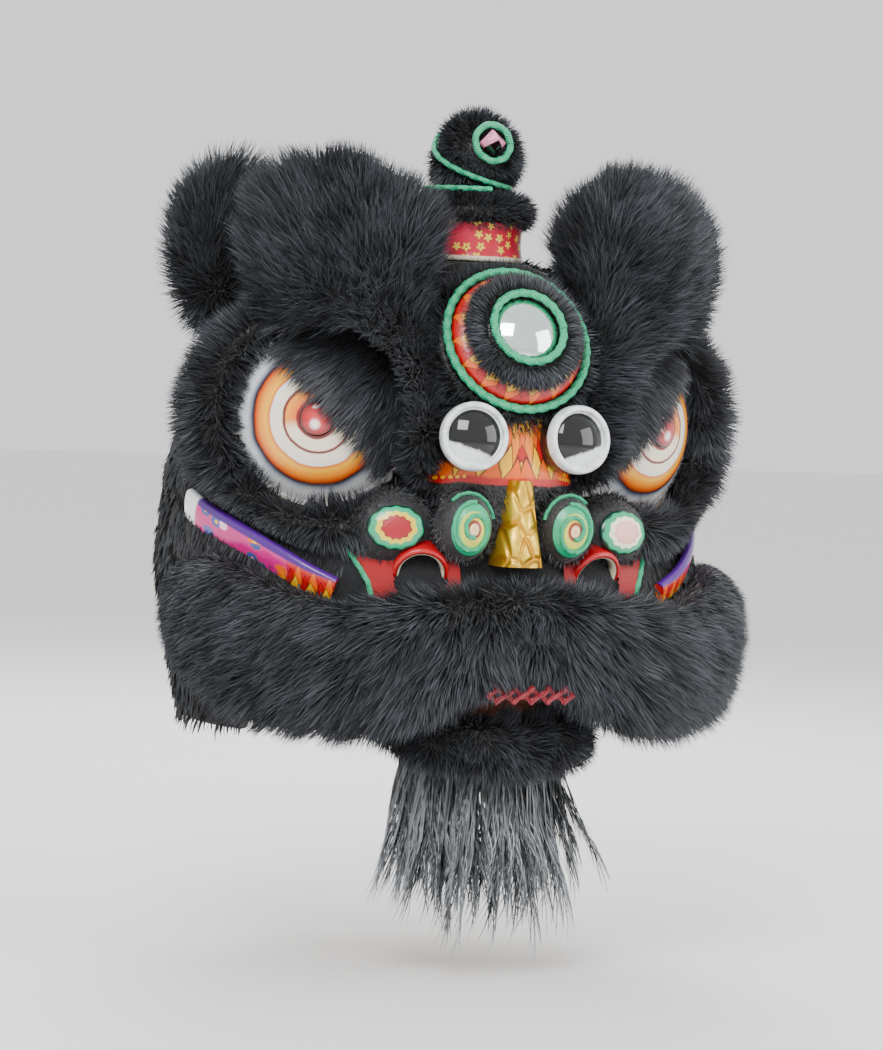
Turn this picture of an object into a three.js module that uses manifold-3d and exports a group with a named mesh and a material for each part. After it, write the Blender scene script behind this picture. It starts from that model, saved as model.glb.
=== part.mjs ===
// Southern lion dance head: a hollow papier-mache shell with drum eyes that blink,
// hinged ears, a hinged lower jaw with a beard, a knobbed horn, mirrors and deep fur.
// Millimetres. +Z is up, the face looks along -Y, and the lion's own left is +X.
// The origin is the middle of the cross bar that the dancer holds the head by.
import * as THREE from "three";
import { mergeVertices } from "three/addons/utils/BufferGeometryUtils.js";
import Module from "manifold-3d";

const wasm = await Module();
wasm.setup();

// Driving sizes
const WALL = 3; // papier-mache wall of the shell
const GAP = 0.4; // clearance that neighbouring pieces keep
const RIM_Z = -60; // lower rim of the shell, where the body cloth is sewn on
const RIM_WIDTH = 14; // width of the stiff hoop at the rim
const RIM_HEIGHT = 12;
const MID_Y = 60; // where the front and back halves of each section meet
const BACK_POWER = 2.2; // roundness of the back of each section
const SHELL_SIDES = 24;
const MOUTH_TOP = 25; // lower edge of the muzzle wall, behind the lip fur
const MOUTH_BACK = -35; // how far back the mouth opening is cut
const CORE = new THREE.Vector3(0, 70, 250); // middle of the hollow, which fur faces away from
const FAR = 400; // reach of a cutting tool

const BAR_RADIUS = 10; // cross bar of cane
const BAR_HALF = 284;

const EYE_RADIUS = 95;
const EYE_DOME = 45; // how far the eye bulges past its rim
const EYE_DEPTH = 90; // depth of the drum behind the rim
const EYE_WALL = 3;
const EYE_SIDES = 16;
const EYE_OUTWARD = 25; // degrees that each eye looks to its own side
const EYE_CENTRE = new THREE.Vector3(190, -76, 290); // middle of the left eye's rim
const LID_SLANT = 46; // degrees that the lid's axis climbs outwards
const LID_CLEARANCE = 8; // between the eye's dome and the lid
const LID_WALL = 3;
const LID_FUR = 15;
const LID_EDGE = 13; // degrees from the pupil up to the lid's edge
const LID_FUR_END = 37;
const LID_END = 86;
const LID_SPAN = 43; // half of the lid's spread along its axis, in degrees
const PIN_RADIUS = 4;
const PUPIL_RADIUS = 20;

const BOSS_CENTRE = new THREE.Vector3(0, -173, 385);
const BOSS_TILT = 25; // degrees that the forehead boss looks up
const BOSS_RADIUS = 77;
const BOSS_RISE = 30;
const CORD_RADIUS = 5; // green cord round the boss
const MIRROR_RADIUS = 36;

const HORN_BASE = new THREE.Vector3(0, -30, 470); // middle of the flat crown
const HORN_RADIUS = 58;

const FUR_BLACK = { color: 0x1b1d22, roughness: 0.9, metalness: 0 };
const FINISH = {
  black_plush: { color: 0x17181c, roughness: 0.95, metalness: 0 },
  fur: FUR_BLACK,
  beard: { color: 0x55585a, roughness: 0.7, metalness: 0 },
  green_cord: { color: 0x2fc08f, roughness: 0.6, metalness: 0 },
  red_braid: { color: 0xa8142f, roughness: 0.6, metalness: 0 },
  mirror: { color: 0xe6eef0, roughness: 0.05, metalness: 1 },
  white_rim: { color: 0xe9ecee, roughness: 0.3, metalness: 0.2 },
  eye: { color: 0xf2a33c, roughness: 0.35, metalness: 0 },
  pupil: { color: 0xd93636, roughness: 0.2, metalness: 0 },
  flame: { color: 0xe2541f, roughness: 0.45, metalness: 0 },
  gold: { color: 0xe9c53c, roughness: 0.3, metalness: 0.6 },
  nose_black: { color: 0x1d1d20, roughness: 0.4, metalness: 0 },
  button: { color: 0xd6374a, roughness: 0.4, metalness: 0 },
  nostril: { color: 0xd01f2c, roughness: 0.4, metalness: 0 },
  pink_band: { color: 0xd23fa0, roughness: 0.4, metalness: 0 },
  horn_pink: { color: 0xe0506f, roughness: 0.5, metalness: 0 },
  gem: { color: 0xf07fa0, roughness: 0.1, metalness: 0 },
  cane: { color: 0xc9a468, roughness: 0.6, metalness: 0 },
  jaw_red: { color: 0xa3202b, roughness: 0.7, metalness: 0 },
};

const vec = (x, y, z) => new THREE.Vector3(x, y, z);
const rad = THREE.MathUtils.degToRad;
const lerp = THREE.MathUtils.lerp;

// Closed geometry from points and triangles, turned the right way out.
function closedGeometry(points, triangles) {
  const geometry = new THREE.BufferGeometry().setFromPoints(points);
  let volume = 0;
  for (let i = 0; i < triangles.length; i += 3) {
    const [a, b, c] = [0, 1, 2].map((k) => points[triangles[i + k]]);
    volume += a.dot(b.clone().cross(c));
  }
  const turned = volume < 0 ? triangles.slice().reverse() : triangles;
  geometry.setIndex(turned);
  return geometry;
}

// Skin over a grid of points: rings that close on themselves, then an end for each side.
// ends: "poles" closes each end to its ring's middle, "zip" folds a ring flat, "wrap" joins last to first.
function skin(ringCount, sides, pointAt, ends, bulge = [0, 0]) {
  const points = [];
  for (let i = 0; i < ringCount; i++)
    for (let j = 0; j < sides; j++) points.push(pointAt(i, j));
  const at = (i, j) => (i % ringCount) * sides + (j % sides);
  const triangles = [];
  const quad = (a, b, c, d) => {
    const long = points[a].distanceTo(points[c]) > points[b].distanceTo(points[d]);
    triangles.push(...(long ? [a, b, d, b, c, d] : [a, b, c, a, c, d]));
  };
  const spans = ends === "wrap" ? ringCount : ringCount - 1;
  for (let i = 0; i < spans; i++)
    for (let j = 0; j < sides; j++)
      quad(at(i, j), at(i, j + 1), at(i + 1, j + 1), at(i + 1, j));
  const last = ringCount - 1;
  if (ends === "poles") {
    const middle = (i) => {
      const sum = vec(0, 0, 0);
      for (let j = 0; j < sides; j++) sum.add(points[at(i, j)]);
      return sum.divideScalar(sides);
    };
    const first = middle(0);
    const end = middle(last);
    const start = first.clone().sub(middle(1)).normalize().multiplyScalar(bulge[0]);
    const stop = end.clone().sub(middle(last - 1)).normalize().multiplyScalar(bulge[1]);
    const poles = [points.push(first.add(start)) - 1, points.push(end.add(stop)) - 1];
    for (let j = 0; j < sides; j++) {
      triangles.push(poles[0], at(0, j + 1), at(0, j));
      triangles.push(poles[1], at(last, j), at(last, j + 1));
    }
  }
  if (ends === "zip")
    for (let j = 0; j < sides / 2 - 1; j++) {
      const k = sides - 1 - j;
      quad(at(0, k), at(0, k - 1), at(0, j + 1), at(0, j));
      quad(at(last, j), at(last, j + 1), at(last, k - 1), at(last, k));
    }
  return closedGeometry(points, triangles);
}

// Boolean joins and cuts
function solidOf(geometry) {
  const bare = geometry.clone();
  bare.deleteAttribute("normal");
  bare.deleteAttribute("uv");
  const merged = mergeVertices(bare, 1e-3);
  return new wasm.Manifold(
    new wasm.Mesh({
      numProp: 3,
      vertProperties: new Float32Array(merged.attributes.position.array),
      triVerts: new Uint32Array(merged.index.array),
    }),
  );
}

function geometryOf(solid) {
  const mesh = solid.getMesh();
  const geometry = new THREE.BufferGeometry();
  geometry.setAttribute("position", new THREE.BufferAttribute(mesh.vertProperties, 3));
  geometry.setIndex(new THREE.BufferAttribute(mesh.triVerts, 1));
  return geometry;
}

// A cut can leave loose crumbs behind a thin edge; the piece is its largest body.
function largest(solid) {
  const bodies = solid.decompose();
  return bodies.reduce((best, body) => (body.volume() > best.volume() ? body : best));
}

const cut = (geometry, ...tools) =>
  geometryOf(largest(tools.reduce((left, tool) => left.subtract(tool), solidOf(geometry))));
const join = (...geometries) =>
  geometryOf(geometries.map(solidOf).reduce((all, next) => all.add(next)));
const mirrored = (geometry) => {
  const copy = geometry.clone().applyMatrix4(new THREE.Matrix4().makeScale(-1, 1, 1));
  copy.setIndex([...copy.index.array].reverse());
  return copy;
};

// Turned solids: a profile of radius and height about an axis that leaves a point along a direction
function turned(profile, sides, origin, direction, start = 0) {
  const points = profile.map(([r, h]) => new THREE.Vector2(r, h));
  const lathe = new THREE.LatheGeometry(points, sides, start);
  const merged = mergeVertices(stripped(lathe), 1e-3);
  const turn = new THREE.Quaternion().setFromUnitVectors(vec(0, 1, 0), direction);
  merged.applyQuaternion(turn);
  merged.translate(origin.x, origin.y, origin.z);
  return facingOut(merged);
}

function stripped(geometry) {
  geometry.deleteAttribute("normal");
  geometry.deleteAttribute("uv");
  return geometry;
}

// Drops collapsed triangles and turns the rest outwards.
function facingOut(geometry) {
  const position = geometry.attributes.position;
  const points = [];
  for (let i = 0; i < position.count; i++)
    points.push(new THREE.Vector3().fromBufferAttribute(position, i));
  const index = geometry.index.array;
  const kept = [];
  for (let i = 0; i < index.length; i += 3) {
    const [a, b, c] = index.slice(i, i + 3);
    if (a !== b && b !== c && a !== c) kept.push(a, b, c);
  }
  return closedGeometry(points, kept);
}

const disc = (radius, low, high) => [
  [0, low],
  [radius, low],
  [radius, high],
  [0, high],
];

// Cord or rod of even thickness along a curve
function rod(curve, radius, steps, sides) {
  const corners = Array.from({ length: sides }, (_, i) => {
    const angle = (2 * Math.PI * i) / sides;
    return new THREE.Vector2(radius * Math.cos(angle), radius * Math.sin(angle));
  });
  const section = new THREE.Shape(corners);
  const options = { steps, bevelEnabled: false, extrudePath: curve };
  const geometry = new THREE.ExtrudeGeometry(section, options);
  return facingOut(mergeVertices(stripped(geometry), 1e-3));
}

// Fur: a roll through rows of centre, half width across and half depth out, with staggered pointed locks
function furRoll({ rows, steps, sides, lock, comb = vec(0, 0, -1), core = CORE, grow = 0 }) {
  const path = new THREE.CatmullRomCurve3(rows.map((row) => vec(row.x, row.y, row.z)));
  const frames = [];
  for (let i = 0; i <= steps; i++) {
    const t = i / steps;
    const at = t * (rows.length - 1);
    const k = Math.min(Math.floor(at), rows.length - 2);
    const size = (name) => lerp(rows[k][name], rows[k + 1][name], at - k) + grow;
    const centre = path.getPoint(t);
    const along = path.getTangent(t);
    const out = centre.clone().sub(core);
    out.addScaledVector(along, -out.dot(along)).normalize();
    const across = along.clone().cross(out);
    frames.push({ centre, out, across, wide: size("across"), deep: size("out") });
  }
  const pointAt = (i, j) => {
    const { centre, out, across, wide, deep } = frames[i];
    const angle = (2 * Math.PI * j) / sides;
    const ray = across.clone().multiplyScalar(wide * Math.cos(angle));
    ray.addScaledVector(out, deep * Math.sin(angle));
    const tip = (i + j) % 2 ? 0 : lock;
    const lean = ray.clone().normalize().add(comb).multiplyScalar(tip);
    return centre.clone().add(ray).add(lean);
  };
  return skin(steps + 1, sides, pointAt, "poles", [rows[0].out / 2, rows.at(-1).out / 2]);
}

// Fur in a ring about an axis, from a section whose outer corners grow into staggered locks
function furRing(section, steps, origin, direction) {
  const turn = new THREE.Quaternion().setFromUnitVectors(vec(0, 0, 1), direction);
  const pointAt = (i, j) => {
    const round = (2 * Math.PI * i) / steps;
    const { r, h, lock } = section[j];
    const tip = (i + j) % 2 ? 0 : lock;
    const point = vec((r + tip) * Math.cos(round), (r + tip) * Math.sin(round), h + tip / 3);
    return point.applyQuaternion(turn).add(origin);
  };
  return skin(steps, section.length, pointAt, "wrap");
}

// Head shell: each row is a level section with its own half width, front and back
const SHELL_ROWS = [
  { z: RIM_Z, halfWidth: 280, front: -150, back: 300, power: 2.2 },
  { z: 0, halfWidth: 292, front: -180, back: 318, power: 2.2 },
  { z: 105, halfWidth: 311, front: -192, back: 330, power: 2.3 },
  { z: 170, halfWidth: 310, front: -172, back: 332, power: 1.9 },
  { z: 235, halfWidth: 302, front: -134, back: 326, power: 2 },
  { z: 292, halfWidth: 284, front: -126, back: 312, power: 2.2 },
  { z: 360, halfWidth: 258, front: -128, back: 278, power: 2.1 },
  { z: 415, halfWidth: 208, front: -124, back: 226, power: 2 },
  { z: 450, halfWidth: 144, front: -106, back: 152, power: 2 },
  { z: HORN_BASE.z, halfWidth: 66, front: -92, back: 42, power: 2 },
];

function shellPoint(row, j, inset) {
  const angle = (2 * Math.PI * j) / SHELL_SIDES;
  const [c, s] = [Math.cos(angle), Math.sin(angle)];
  const power = s < 0 ? row.power : BACK_POWER;
  const middle = Math.min(MID_Y, (row.front + row.back) / 2);
  const depth = (s < 0 ? middle - row.front : row.back - middle) - inset;
  const bent = (value) => Math.sign(value) * Math.abs(value) ** (2 / power);
  return vec((row.halfWidth - inset) * bent(c), middle + depth * bent(s), row.z);
}

const withHeight = (row, z) => ({ ...row, z });

function shellGeometry() {
  const [rim, ...upper] = SHELL_ROWS;
  const crown = upper.at(-1);
  const inner = upper.map((row) => ({ row, inset: WALL }));
  inner[inner.length - 1] = { row: withHeight(crown, crown.z - WALL), inset: WALL };
  inner.unshift(
    { row: rim, inset: RIM_WIDTH },
    { row: withHeight(rim, RIM_Z + RIM_HEIGHT), inset: RIM_WIDTH },
    { row: withHeight(rim, RIM_Z + 2 * RIM_HEIGHT), inset: WALL },
  );
  const outer = SHELL_ROWS.map((row) => ({ row, inset: 0 }));
  const rings = [...inner.reverse(), ...outer];
  const pointAt = (i, j) => shellPoint(rings[i].row, j, rings[i].inset);
  return skin(rings.length, SHELL_SIDES, pointAt, "poles");
}

// The shell's outside as a full solid, grown by the gap: it trims what sits on the shell.
function shellTool(grow) {
  const rows = SHELL_ROWS.map((row) => ({ ...row }));
  rows[0].z -= FAR;
  rows.at(-1).z += grow;
  const pointAt = (i, j) => shellPoint(rows[i], j, -grow);
  return solidOf(skin(rows.length, SHELL_SIDES, pointAt, "poles"));
}

// Front surface of the shell at a height and a side distance
function faceY(x, z) {
  const k = Math.max(0, SHELL_ROWS.findIndex((row) => row.z >= z) - 1);
  const [low, high] = [SHELL_ROWS[k], SHELL_ROWS[k + 1]];
  const t = (z - low.z) / (high.z - low.z);
  const size = (name) => lerp(low[name], high[name], t);
  const share = Math.min(1, Math.abs(x) / size("halfWidth"));
  return MID_Y - (MID_Y - size("front")) * (1 - share ** size("power")) ** (1 / size("power"));
}

const shellTrim = shellTool(GAP);

// Eyes: frame of the left eye, with the lid's axis, the way up past the lid, and the way it looks
const eyeLook = vec(Math.sin(rad(EYE_OUTWARD)), -Math.cos(rad(EYE_OUTWARD)), 0);
const eyeSide = vec(Math.cos(rad(EYE_OUTWARD)), Math.sin(rad(EYE_OUTWARD)), 0);
const lidAxis = eyeSide.clone().multiplyScalar(Math.cos(rad(LID_SLANT)));
lidAxis.addScaledVector(vec(0, 0, 1), Math.sin(rad(LID_SLANT)));
const lidUp = eyeLook.clone().cross(lidAxis).negate();
if (lidUp.z < 0) lidUp.negate();
const EYE_SPHERE = (EYE_RADIUS ** 2 + EYE_DOME ** 2) / (2 * EYE_DOME);
const eyeBack = EYE_SPHERE - EYE_DOME; // from the rim back to the middle of the dome's sphere
const eyeHeart = EYE_CENTRE.clone().addScaledVector(eyeLook, -eyeBack);
const LID_INNER = EYE_SPHERE + LID_CLEARANCE;
const lidSweep = LID_INNER + LID_WALL + 1;

const onEye = (a, u, n) =>
  eyeHeart
    .clone()
    .addScaledVector(lidAxis, a)
    .addScaledVector(lidUp, u)
    .addScaledVector(eyeLook, n);

function domeProfile(sphere, radius, rows) {
  const widest = Math.asin(radius / sphere);
  return Array.from({ length: rows + 1 }, (_, i) => {
    const angle = (widest * i) / rows;
    return [sphere * Math.sin(angle), sphere * Math.cos(angle)];
  });
}

function eyeDrum() {
  const outside = domeProfile(EYE_SPHERE, EYE_RADIUS, 4);
  const inside = domeProfile(EYE_SPHERE - EYE_WALL, EYE_RADIUS - EYE_WALL, 2);
  const back = eyeBack - EYE_DEPTH;
  const walls = [
    [EYE_RADIUS, back],
    [EYE_RADIUS - EYE_WALL, back],
  ];
  const profile = [...outside, ...walls, ...inside.reverse()];
  const drum = turned(profile, EYE_SIDES, eyeHeart, eyeLook);
  return cut(drum, solidOf(lidPin(GAP)));
}

function lidPin(grow = 0) {
  const half = EYE_RADIUS + 11 + grow;
  return turned(disc(PIN_RADIUS + grow, -half, half), 8, eyeHeart, lidAxis);
}

function pupil() {
  const base = domeProfile(EYE_SPHERE + GAP, PUPIL_RADIUS, 1).reverse();
  const rise = 6.5;
  const top = Array.from({ length: 4 }, (_, i) => {
    const angle = (Math.PI / 2) * (i / 3);
    return [PUPIL_RADIUS * Math.sin(angle), base[0][1] + 1 + rise * Math.cos(angle)];
  });
  return turned([...base.reverse(), ...top.reverse()], 12, eyeHeart, eyeLook);
}

// Lid: a thin part of a sphere round the eye, furred where it shows, on two arms that turn on the pin
function eyelid() {
  const steps = 8;
  const bands = 6;
  const sides = 2 * (bands + 1);
  const pointAt = (i, j) => {
    const turn = lerp(LID_EDGE, LID_END, i / steps);
    const outer = j <= bands;
    const share = (outer ? j : sides - 1 - j) / bands;
    const reach = LID_INNER + LID_WALL + LID_FUR;
    const rim = Math.sqrt(Math.max(0, (EYE_RADIUS - 4) ** 2 - (reach * Math.sin(rad(turn))) ** 2));
    const furred = outer && turn < LID_FUR_END && share > 0 && share < 1;
    const side = (share - 0.5) * 2 * LID_SPAN;
    const within = Math.abs(reach * Math.sin(rad(side))) < rim;
    const tuft = (i + j) % 2 ? 0.8 : 1;
    const depth = furred && within ? LID_WALL + LID_FUR * tuft : LID_WALL;
    const radius = LID_INNER + (outer ? depth : 0);
    const flat = radius * Math.cos(rad(side));
    return onEye(radius * Math.sin(rad(side)), flat * Math.sin(rad(turn)), flat * Math.cos(rad(turn)));
  };
  const patch = skin(steps + 1, sides, pointAt, "zip");
  const arms = [-1, 1].map((end) => lidArm(end));
  return cut(join(patch, ...arms), solidOf(lidPin(GAP)));
}

// Flat arm beside the drum, from the pin out to the end of the lid
function lidArm(end) {
  const width = 9;
  const thick = 5;
  const start = EYE_RADIUS + 2;
  const reach = Math.sqrt((LID_INNER + LID_WALL / 2) ** 2 - start ** 2);
  const lean = rad(62);
  const shape = new THREE.Shape();
  shape.absarc(0, 0, width, Math.PI / 2, (3 * Math.PI) / 2);
  shape.lineTo(reach, -width);
  shape.lineTo(reach, width);
  const plate = new THREE.ExtrudeGeometry(shape, { depth: thick, curveSegments: 8, bevelEnabled: false });
  const outwards = lidUp.clone().multiplyScalar(Math.sin(lean));
  outwards.addScaledVector(eyeLook, Math.cos(lean));
  const lift = lidAxis.clone();
  const basis = new THREE.Matrix4().makeBasis(outwards, lift.clone().cross(outwards), lift);
  const offset = end > 0 ? start : -start - thick;
  basis.setPosition(onEye(offset, 0, 0));
  return facingOut(mergeVertices(stripped(plate), 1e-3).applyMatrix4(basis));
}

const drumTool = (radius, low, high) => solidOf(turned(disc(radius, low, high), EYE_SIDES, eyeHeart, eyeLook));
const eyeHole = drumTool(EYE_RADIUS + 2 * GAP, -FAR / 4, FAR);
const eyeClear = drumTool(EYE_RADIUS + 3, -FAR / 4, FAR);

// The room that the lid's thin part turns in, above the eye
function lidRoom() {
  const sphere = solidOf(turned(ballProfile(lidSweep + 10), 12, eyeHeart, lidAxis));
  const [along, above, behind] = [2 * (EYE_RADIUS + 12), FAR, 20];
  const block = new THREE.BoxGeometry(along, above, FAR).translate(0, above / 2 + 18, FAR / 2 - behind);
  const basis = new THREE.Matrix4().makeBasis(lidAxis, lidUp, eyeLook).setPosition(eyeHeart);
  return sphere.intersect(solidOf(mergeVertices(stripped(block), 1e-3).applyMatrix4(basis)));
}

function ballProfile(radius) {
  return Array.from({ length: 9 }, (_, i) => {
    const angle = (Math.PI * i) / 8;
    return [i % 8 ? radius * Math.sin(angle) : 0, -radius * Math.cos(angle)];
  });
}

const lidSpace = lidRoom();

// Horn: painted base on the crown, furred brim and knob, green cords, and a pointed gem in front
const HORN_ROWS = {
  base: { low: GAP, high: 46 },
  knob: { low: 78, high: 166, radius: 46 },
};

const hornAt = (height) => HORN_BASE.clone().add(vec(0, 0, height));

function hornBase() {
  const { low, high } = HORN_ROWS.base;
  const neck = HORN_RADIUS - 20;
  const profile = [
    [0, low],
    [HORN_RADIUS, low],
    [HORN_RADIUS - 3, high * 0.5],
    [HORN_RADIUS, high],
    [neck, high],
    [neck - 4, HORN_ROWS.knob.low],
    [0, HORN_ROWS.knob.low],
  ];
  return turned(profile, 18, HORN_BASE, vec(0, 0, 1));
}

// Sections of the fur rings: radius and height of each corner, and how far a lock stands out there
const BRIM_SECTION = [
  { r: HORN_RADIUS - 19, h: 47, lock: 0 },
  { r: 60, h: 47, lock: 0 },
  { r: 67, h: 56, lock: 5 },
  { r: 62, h: 70, lock: 5 },
  { r: 50, h: 76, lock: 4 },
  { r: HORN_RADIUS - 19, h: 74, lock: 0 },
];

const hornBrim = () => furRing(BRIM_SECTION, 18, HORN_BASE, vec(0, 0, 1));

const hornClear = solidOf(turned(disc(HORN_RADIUS + 17, -FAR / 4, FAR), 16, HORN_BASE, vec(0, 0, 1)));

// Radius of the knob's fur at a height above the crown
function knobReach(height) {
  const { low, high, radius } = HORN_ROWS.knob;
  const share = (height - low) / (high - low);
  return radius * Math.sqrt(Math.max(0.05, 1 - (1.9 * share - 0.82) ** 2));
}

function hornKnob() {
  const { low, high } = HORN_ROWS.knob;
  const levels = 7;
  const sides = 12;
  const pointAt = (i, j) => {
    const height = lerp(low + GAP, high, (i + 0.3) / levels);
    const angle = (2 * Math.PI * j) / sides;
    const reach = knobReach(height) * ((i + j) % 2 ? 0.96 : 1);
    return hornAt(height).add(vec(reach * Math.cos(angle), reach * Math.sin(angle), 0));
  };
  return skin(levels, sides, pointAt, "poles", [0, 4]);
}

// Gem on the front of the knob, inside a ring of cord
const GEM_LOOK = vec(0, -Math.cos(rad(14)), Math.sin(rad(14)));
const GEM = { height: 122, radius: 15.5, tip: 22, ring: 21, cord: 4 };
const gemCentre = hornAt(GEM.height).addScaledVector(GEM_LOOK, HORN_ROWS.knob.radius + GAP);

function hornGemRing() {
  const ring = new THREE.TorusGeometry(GEM.ring, GEM.cord, 5, 16);
  const turn = new THREE.Quaternion().setFromUnitVectors(vec(0, 0, 1), GEM_LOOK);
  ring.applyQuaternion(turn).translate(...gemCentre.clone().addScaledVector(GEM_LOOK, GEM.cord).toArray());
  return facingOut(mergeVertices(stripped(ring), 1e-3));
}

function hornGem() {
  const profile = [
    [0, 0],
    [GEM.radius, 0],
    [GEM.radius, 5],
    [GEM.radius * 0.7, 12],
    [0, GEM.tip],
  ];
  return turned(profile, 4, gemCentre, GEM_LOOK, Math.PI / 4);
}

// Cords of the horn: one winds down the knob and under the gem, one lies on the brim's left half
const CORD_TURNS = [
  { name: "horn_cord_upper", from: -215, to: -28, high: 148, low: 86, off: 4.8 },
  { name: "horn_cord_lower", from: -220, to: -92, high: 82, low: 82, off: 25 },
];

function hornCords() {
  return CORD_TURNS.map(({ from, to, high, low, off }) => {
    const points = Array.from({ length: 10 }, (_, i) => {
      const angle = rad(lerp(from, to, i / 9));
      const height = lerp(low, high, (1 - i / 9) ** 2.4);
      const reach = knobReach(height) + off;
      return hornAt(height).add(vec(reach * Math.cos(angle), reach * Math.sin(angle), 0));
    });
    return rod(new THREE.CatmullRomCurve3(points), 3, 10, 5);
  });
}

// Forehead boss with its cord, fur and mirror
const bossLook = vec(0, -Math.cos(rad(BOSS_TILT)), Math.sin(rad(BOSS_TILT)));
const BOSS_PROFILE = [
  [0, -70],
  [BOSS_RADIUS, -70],
  [BOSS_RADIUS, 0],
  [BOSS_RADIUS - 4, 7],
  [BOSS_RADIUS - 17, 14],
  [44, BOSS_RISE],
  [0, BOSS_RISE],
];
const bossTurned = (profile, sides) => turned(profile, sides, BOSS_CENTRE, bossLook);

function bossRing(radius, tube, height, sides) {
  const ring = new THREE.TorusGeometry(radius, tube, 5, sides);
  const turn = new THREE.Quaternion().setFromUnitVectors(vec(0, 0, 1), bossLook);
  ring.applyQuaternion(turn).translate(...BOSS_CENTRE.clone().addScaledVector(bossLook, height).toArray());
  return facingOut(mergeVertices(stripped(ring), 1e-3));
}

const BOSS_FUR_SECTION = [
  { r: 46.4, h: 29, lock: 0 },
  { r: 60.6, h: 14.9, lock: 0 },
  { r: 65, h: 20, lock: 3 },
  { r: 62, h: 31, lock: 3 },
  { r: 54, h: 37, lock: 2 },
  { r: 46.4, h: 35, lock: 0 },
];

const bossFur = () => furRing(BOSS_FUR_SECTION, 18, BOSS_CENTRE, bossLook);

const bossClear = solidOf(bossTurned(disc(BOSS_RADIUS + 2 * CORD_RADIUS + 3, -FAR / 4, FAR / 4), 20));
const bossTrim = solidOf(bossTurned(disc(BOSS_RADIUS + 2 * CORD_RADIUS + 1, -FAR / 4, FAR / 4), 20));

// Nose bridge: a painted ridge from the boss down to the nose, level sections again
const BRIDGE_ROWS = [
  { z: 150, half: 128, front: -186 },
  { z: 200, half: 112, front: -196 },
  { z: 245, half: 104, front: -200 },
  { z: 290, half: 98, front: -198 },
  { z: 330, half: 84, front: -186 },
];

function bridgeGeometry(grow = 0) {
  const sides = 16;
  const pointAt = (i, j) => {
    const { z, half, front } = BRIDGE_ROWS[i];
    const angle = (2 * Math.PI * j) / sides;
    const depth = -front - 60;
    const lift = i === 0 ? -grow : i === BRIDGE_ROWS.length - 1 ? grow : 0;
    return vec((half + grow) * Math.cos(angle), -60 + (depth + grow) * Math.sin(angle), z + lift);
  };
  return skin(BRIDGE_ROWS.length, sides, pointAt, "poles");
}

const bridgeTrim = solidOf(bridgeGeometry(GAP));

// Small convex mirrors on the bridge, each in a white cup
const CUP_LOOK = vec(0.14, -0.985, 0.1).normalize();
const CUP_CENTRE = vec(62, -212, 279);
const CUP_RADIUS = 38;

function mirrorCup() {
  const profile = [
    [0, -44],
    [CUP_RADIUS - 3, -44],
    [CUP_RADIUS, 3],
    [CUP_RADIUS - 3, 8],
    [CUP_RADIUS - 7, 6],
    [CUP_RADIUS - 7, 0],
    [0, 0],
  ];
  return cut(turned(profile, 14, CUP_CENTRE, CUP_LOOK), bridgeTrim, shellTrim);
}

function mirrorDome(radius, rise, base, origin, look) {
  const sphere = (radius ** 2 + rise ** 2) / (2 * rise);
  const dome = domeProfile(sphere, radius, 3).map(([r, h]) => [r, h - (sphere - rise) + base]);
  return turned([...dome, [0, base]], 16, origin, look);
}

const cupClear = solidOf(turned(disc(CUP_RADIUS + 1.5, -60, 60), 16, CUP_CENTRE, CUP_LOOK));

// Nose: gold ridge, a lobe on each flank, and a wing with an oval button outside it
const NOSE = {
  ridge: { top: 232, bottom: 138, topHalf: 15, bottomHalf: 28, front: -226, topFront: -212 },
  lobe: { centre: vec(60, -186, 180), radius: vec(33, 34, 40) },
  wing: { centre: vec(127, -146, 172), radius: vec(50, 36, 44) },
  button: { half: vec(32, 9, 25), lift: 33 },
  nostril: { centre: vec(104, -176, 128), radius: 32 },
};

function ball(centre, radius, across, rings, grow = 0) {
  const sphere = new THREE.SphereGeometry(1, across, rings);
  sphere.rotateX(Math.PI / 2);
  sphere.scale(radius.x + grow, radius.y + grow, radius.z + grow);
  sphere.translate(centre.x, centre.y, centre.z);
  return facingOut(mergeVertices(stripped(sphere), 1e-3));
}

function noseRidge(grow = 0) {
  const { top, bottom, topHalf, bottomHalf, front, topFront } = NOSE.ridge;
  const levels = [
    { z: bottom - grow, half: bottomHalf, y: front },
    { z: lerp(bottom, top, 0.35), half: bottomHalf - 7, y: front + 2 },
    { z: top + grow, half: topHalf, y: topFront },
  ];
  const back = -120;
  const pointAt = (i, j) => {
    const { z, half, y } = levels[i];
    const wide = half + grow;
    const face = y - grow;
    return [
      vec(-wide, back, z),
      vec(-wide, face + 10, z),
      vec(-wide * 0.4, face, z),
      vec(wide * 0.4, face, z),
      vec(wide, face + 10, z),
      vec(wide, back, z),
    ][j];
  };
  return skin(levels.length, 6, pointAt, "poles");
}

const ridgeTrim = solidOf(noseRidge(GAP));

function noseLobe(grow = 0) {
  return ball(NOSE.lobe.centre, NOSE.lobe.radius, 10, 6, grow);
}

function noseWing(grow = 0) {
  return ball(NOSE.wing.centre, NOSE.wing.radius, 10, 6, grow);
}

const buttonLook = vec(0.25, -0.96, 0.12).normalize();
const buttonCentre = NOSE.wing.centre.clone().addScaledVector(buttonLook, NOSE.button.lift);

function noseButton(grow = 0) {
  const { half } = NOSE.button;
  const button = ball(vec(0, 0, 0), half, 12, 5, grow);
  const turn = new THREE.Quaternion().setFromUnitVectors(vec(0, -1, 0), buttonLook);
  return button.applyQuaternion(turn).translate(buttonCentre.x, buttonCentre.y, buttonCentre.z);
}

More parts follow.
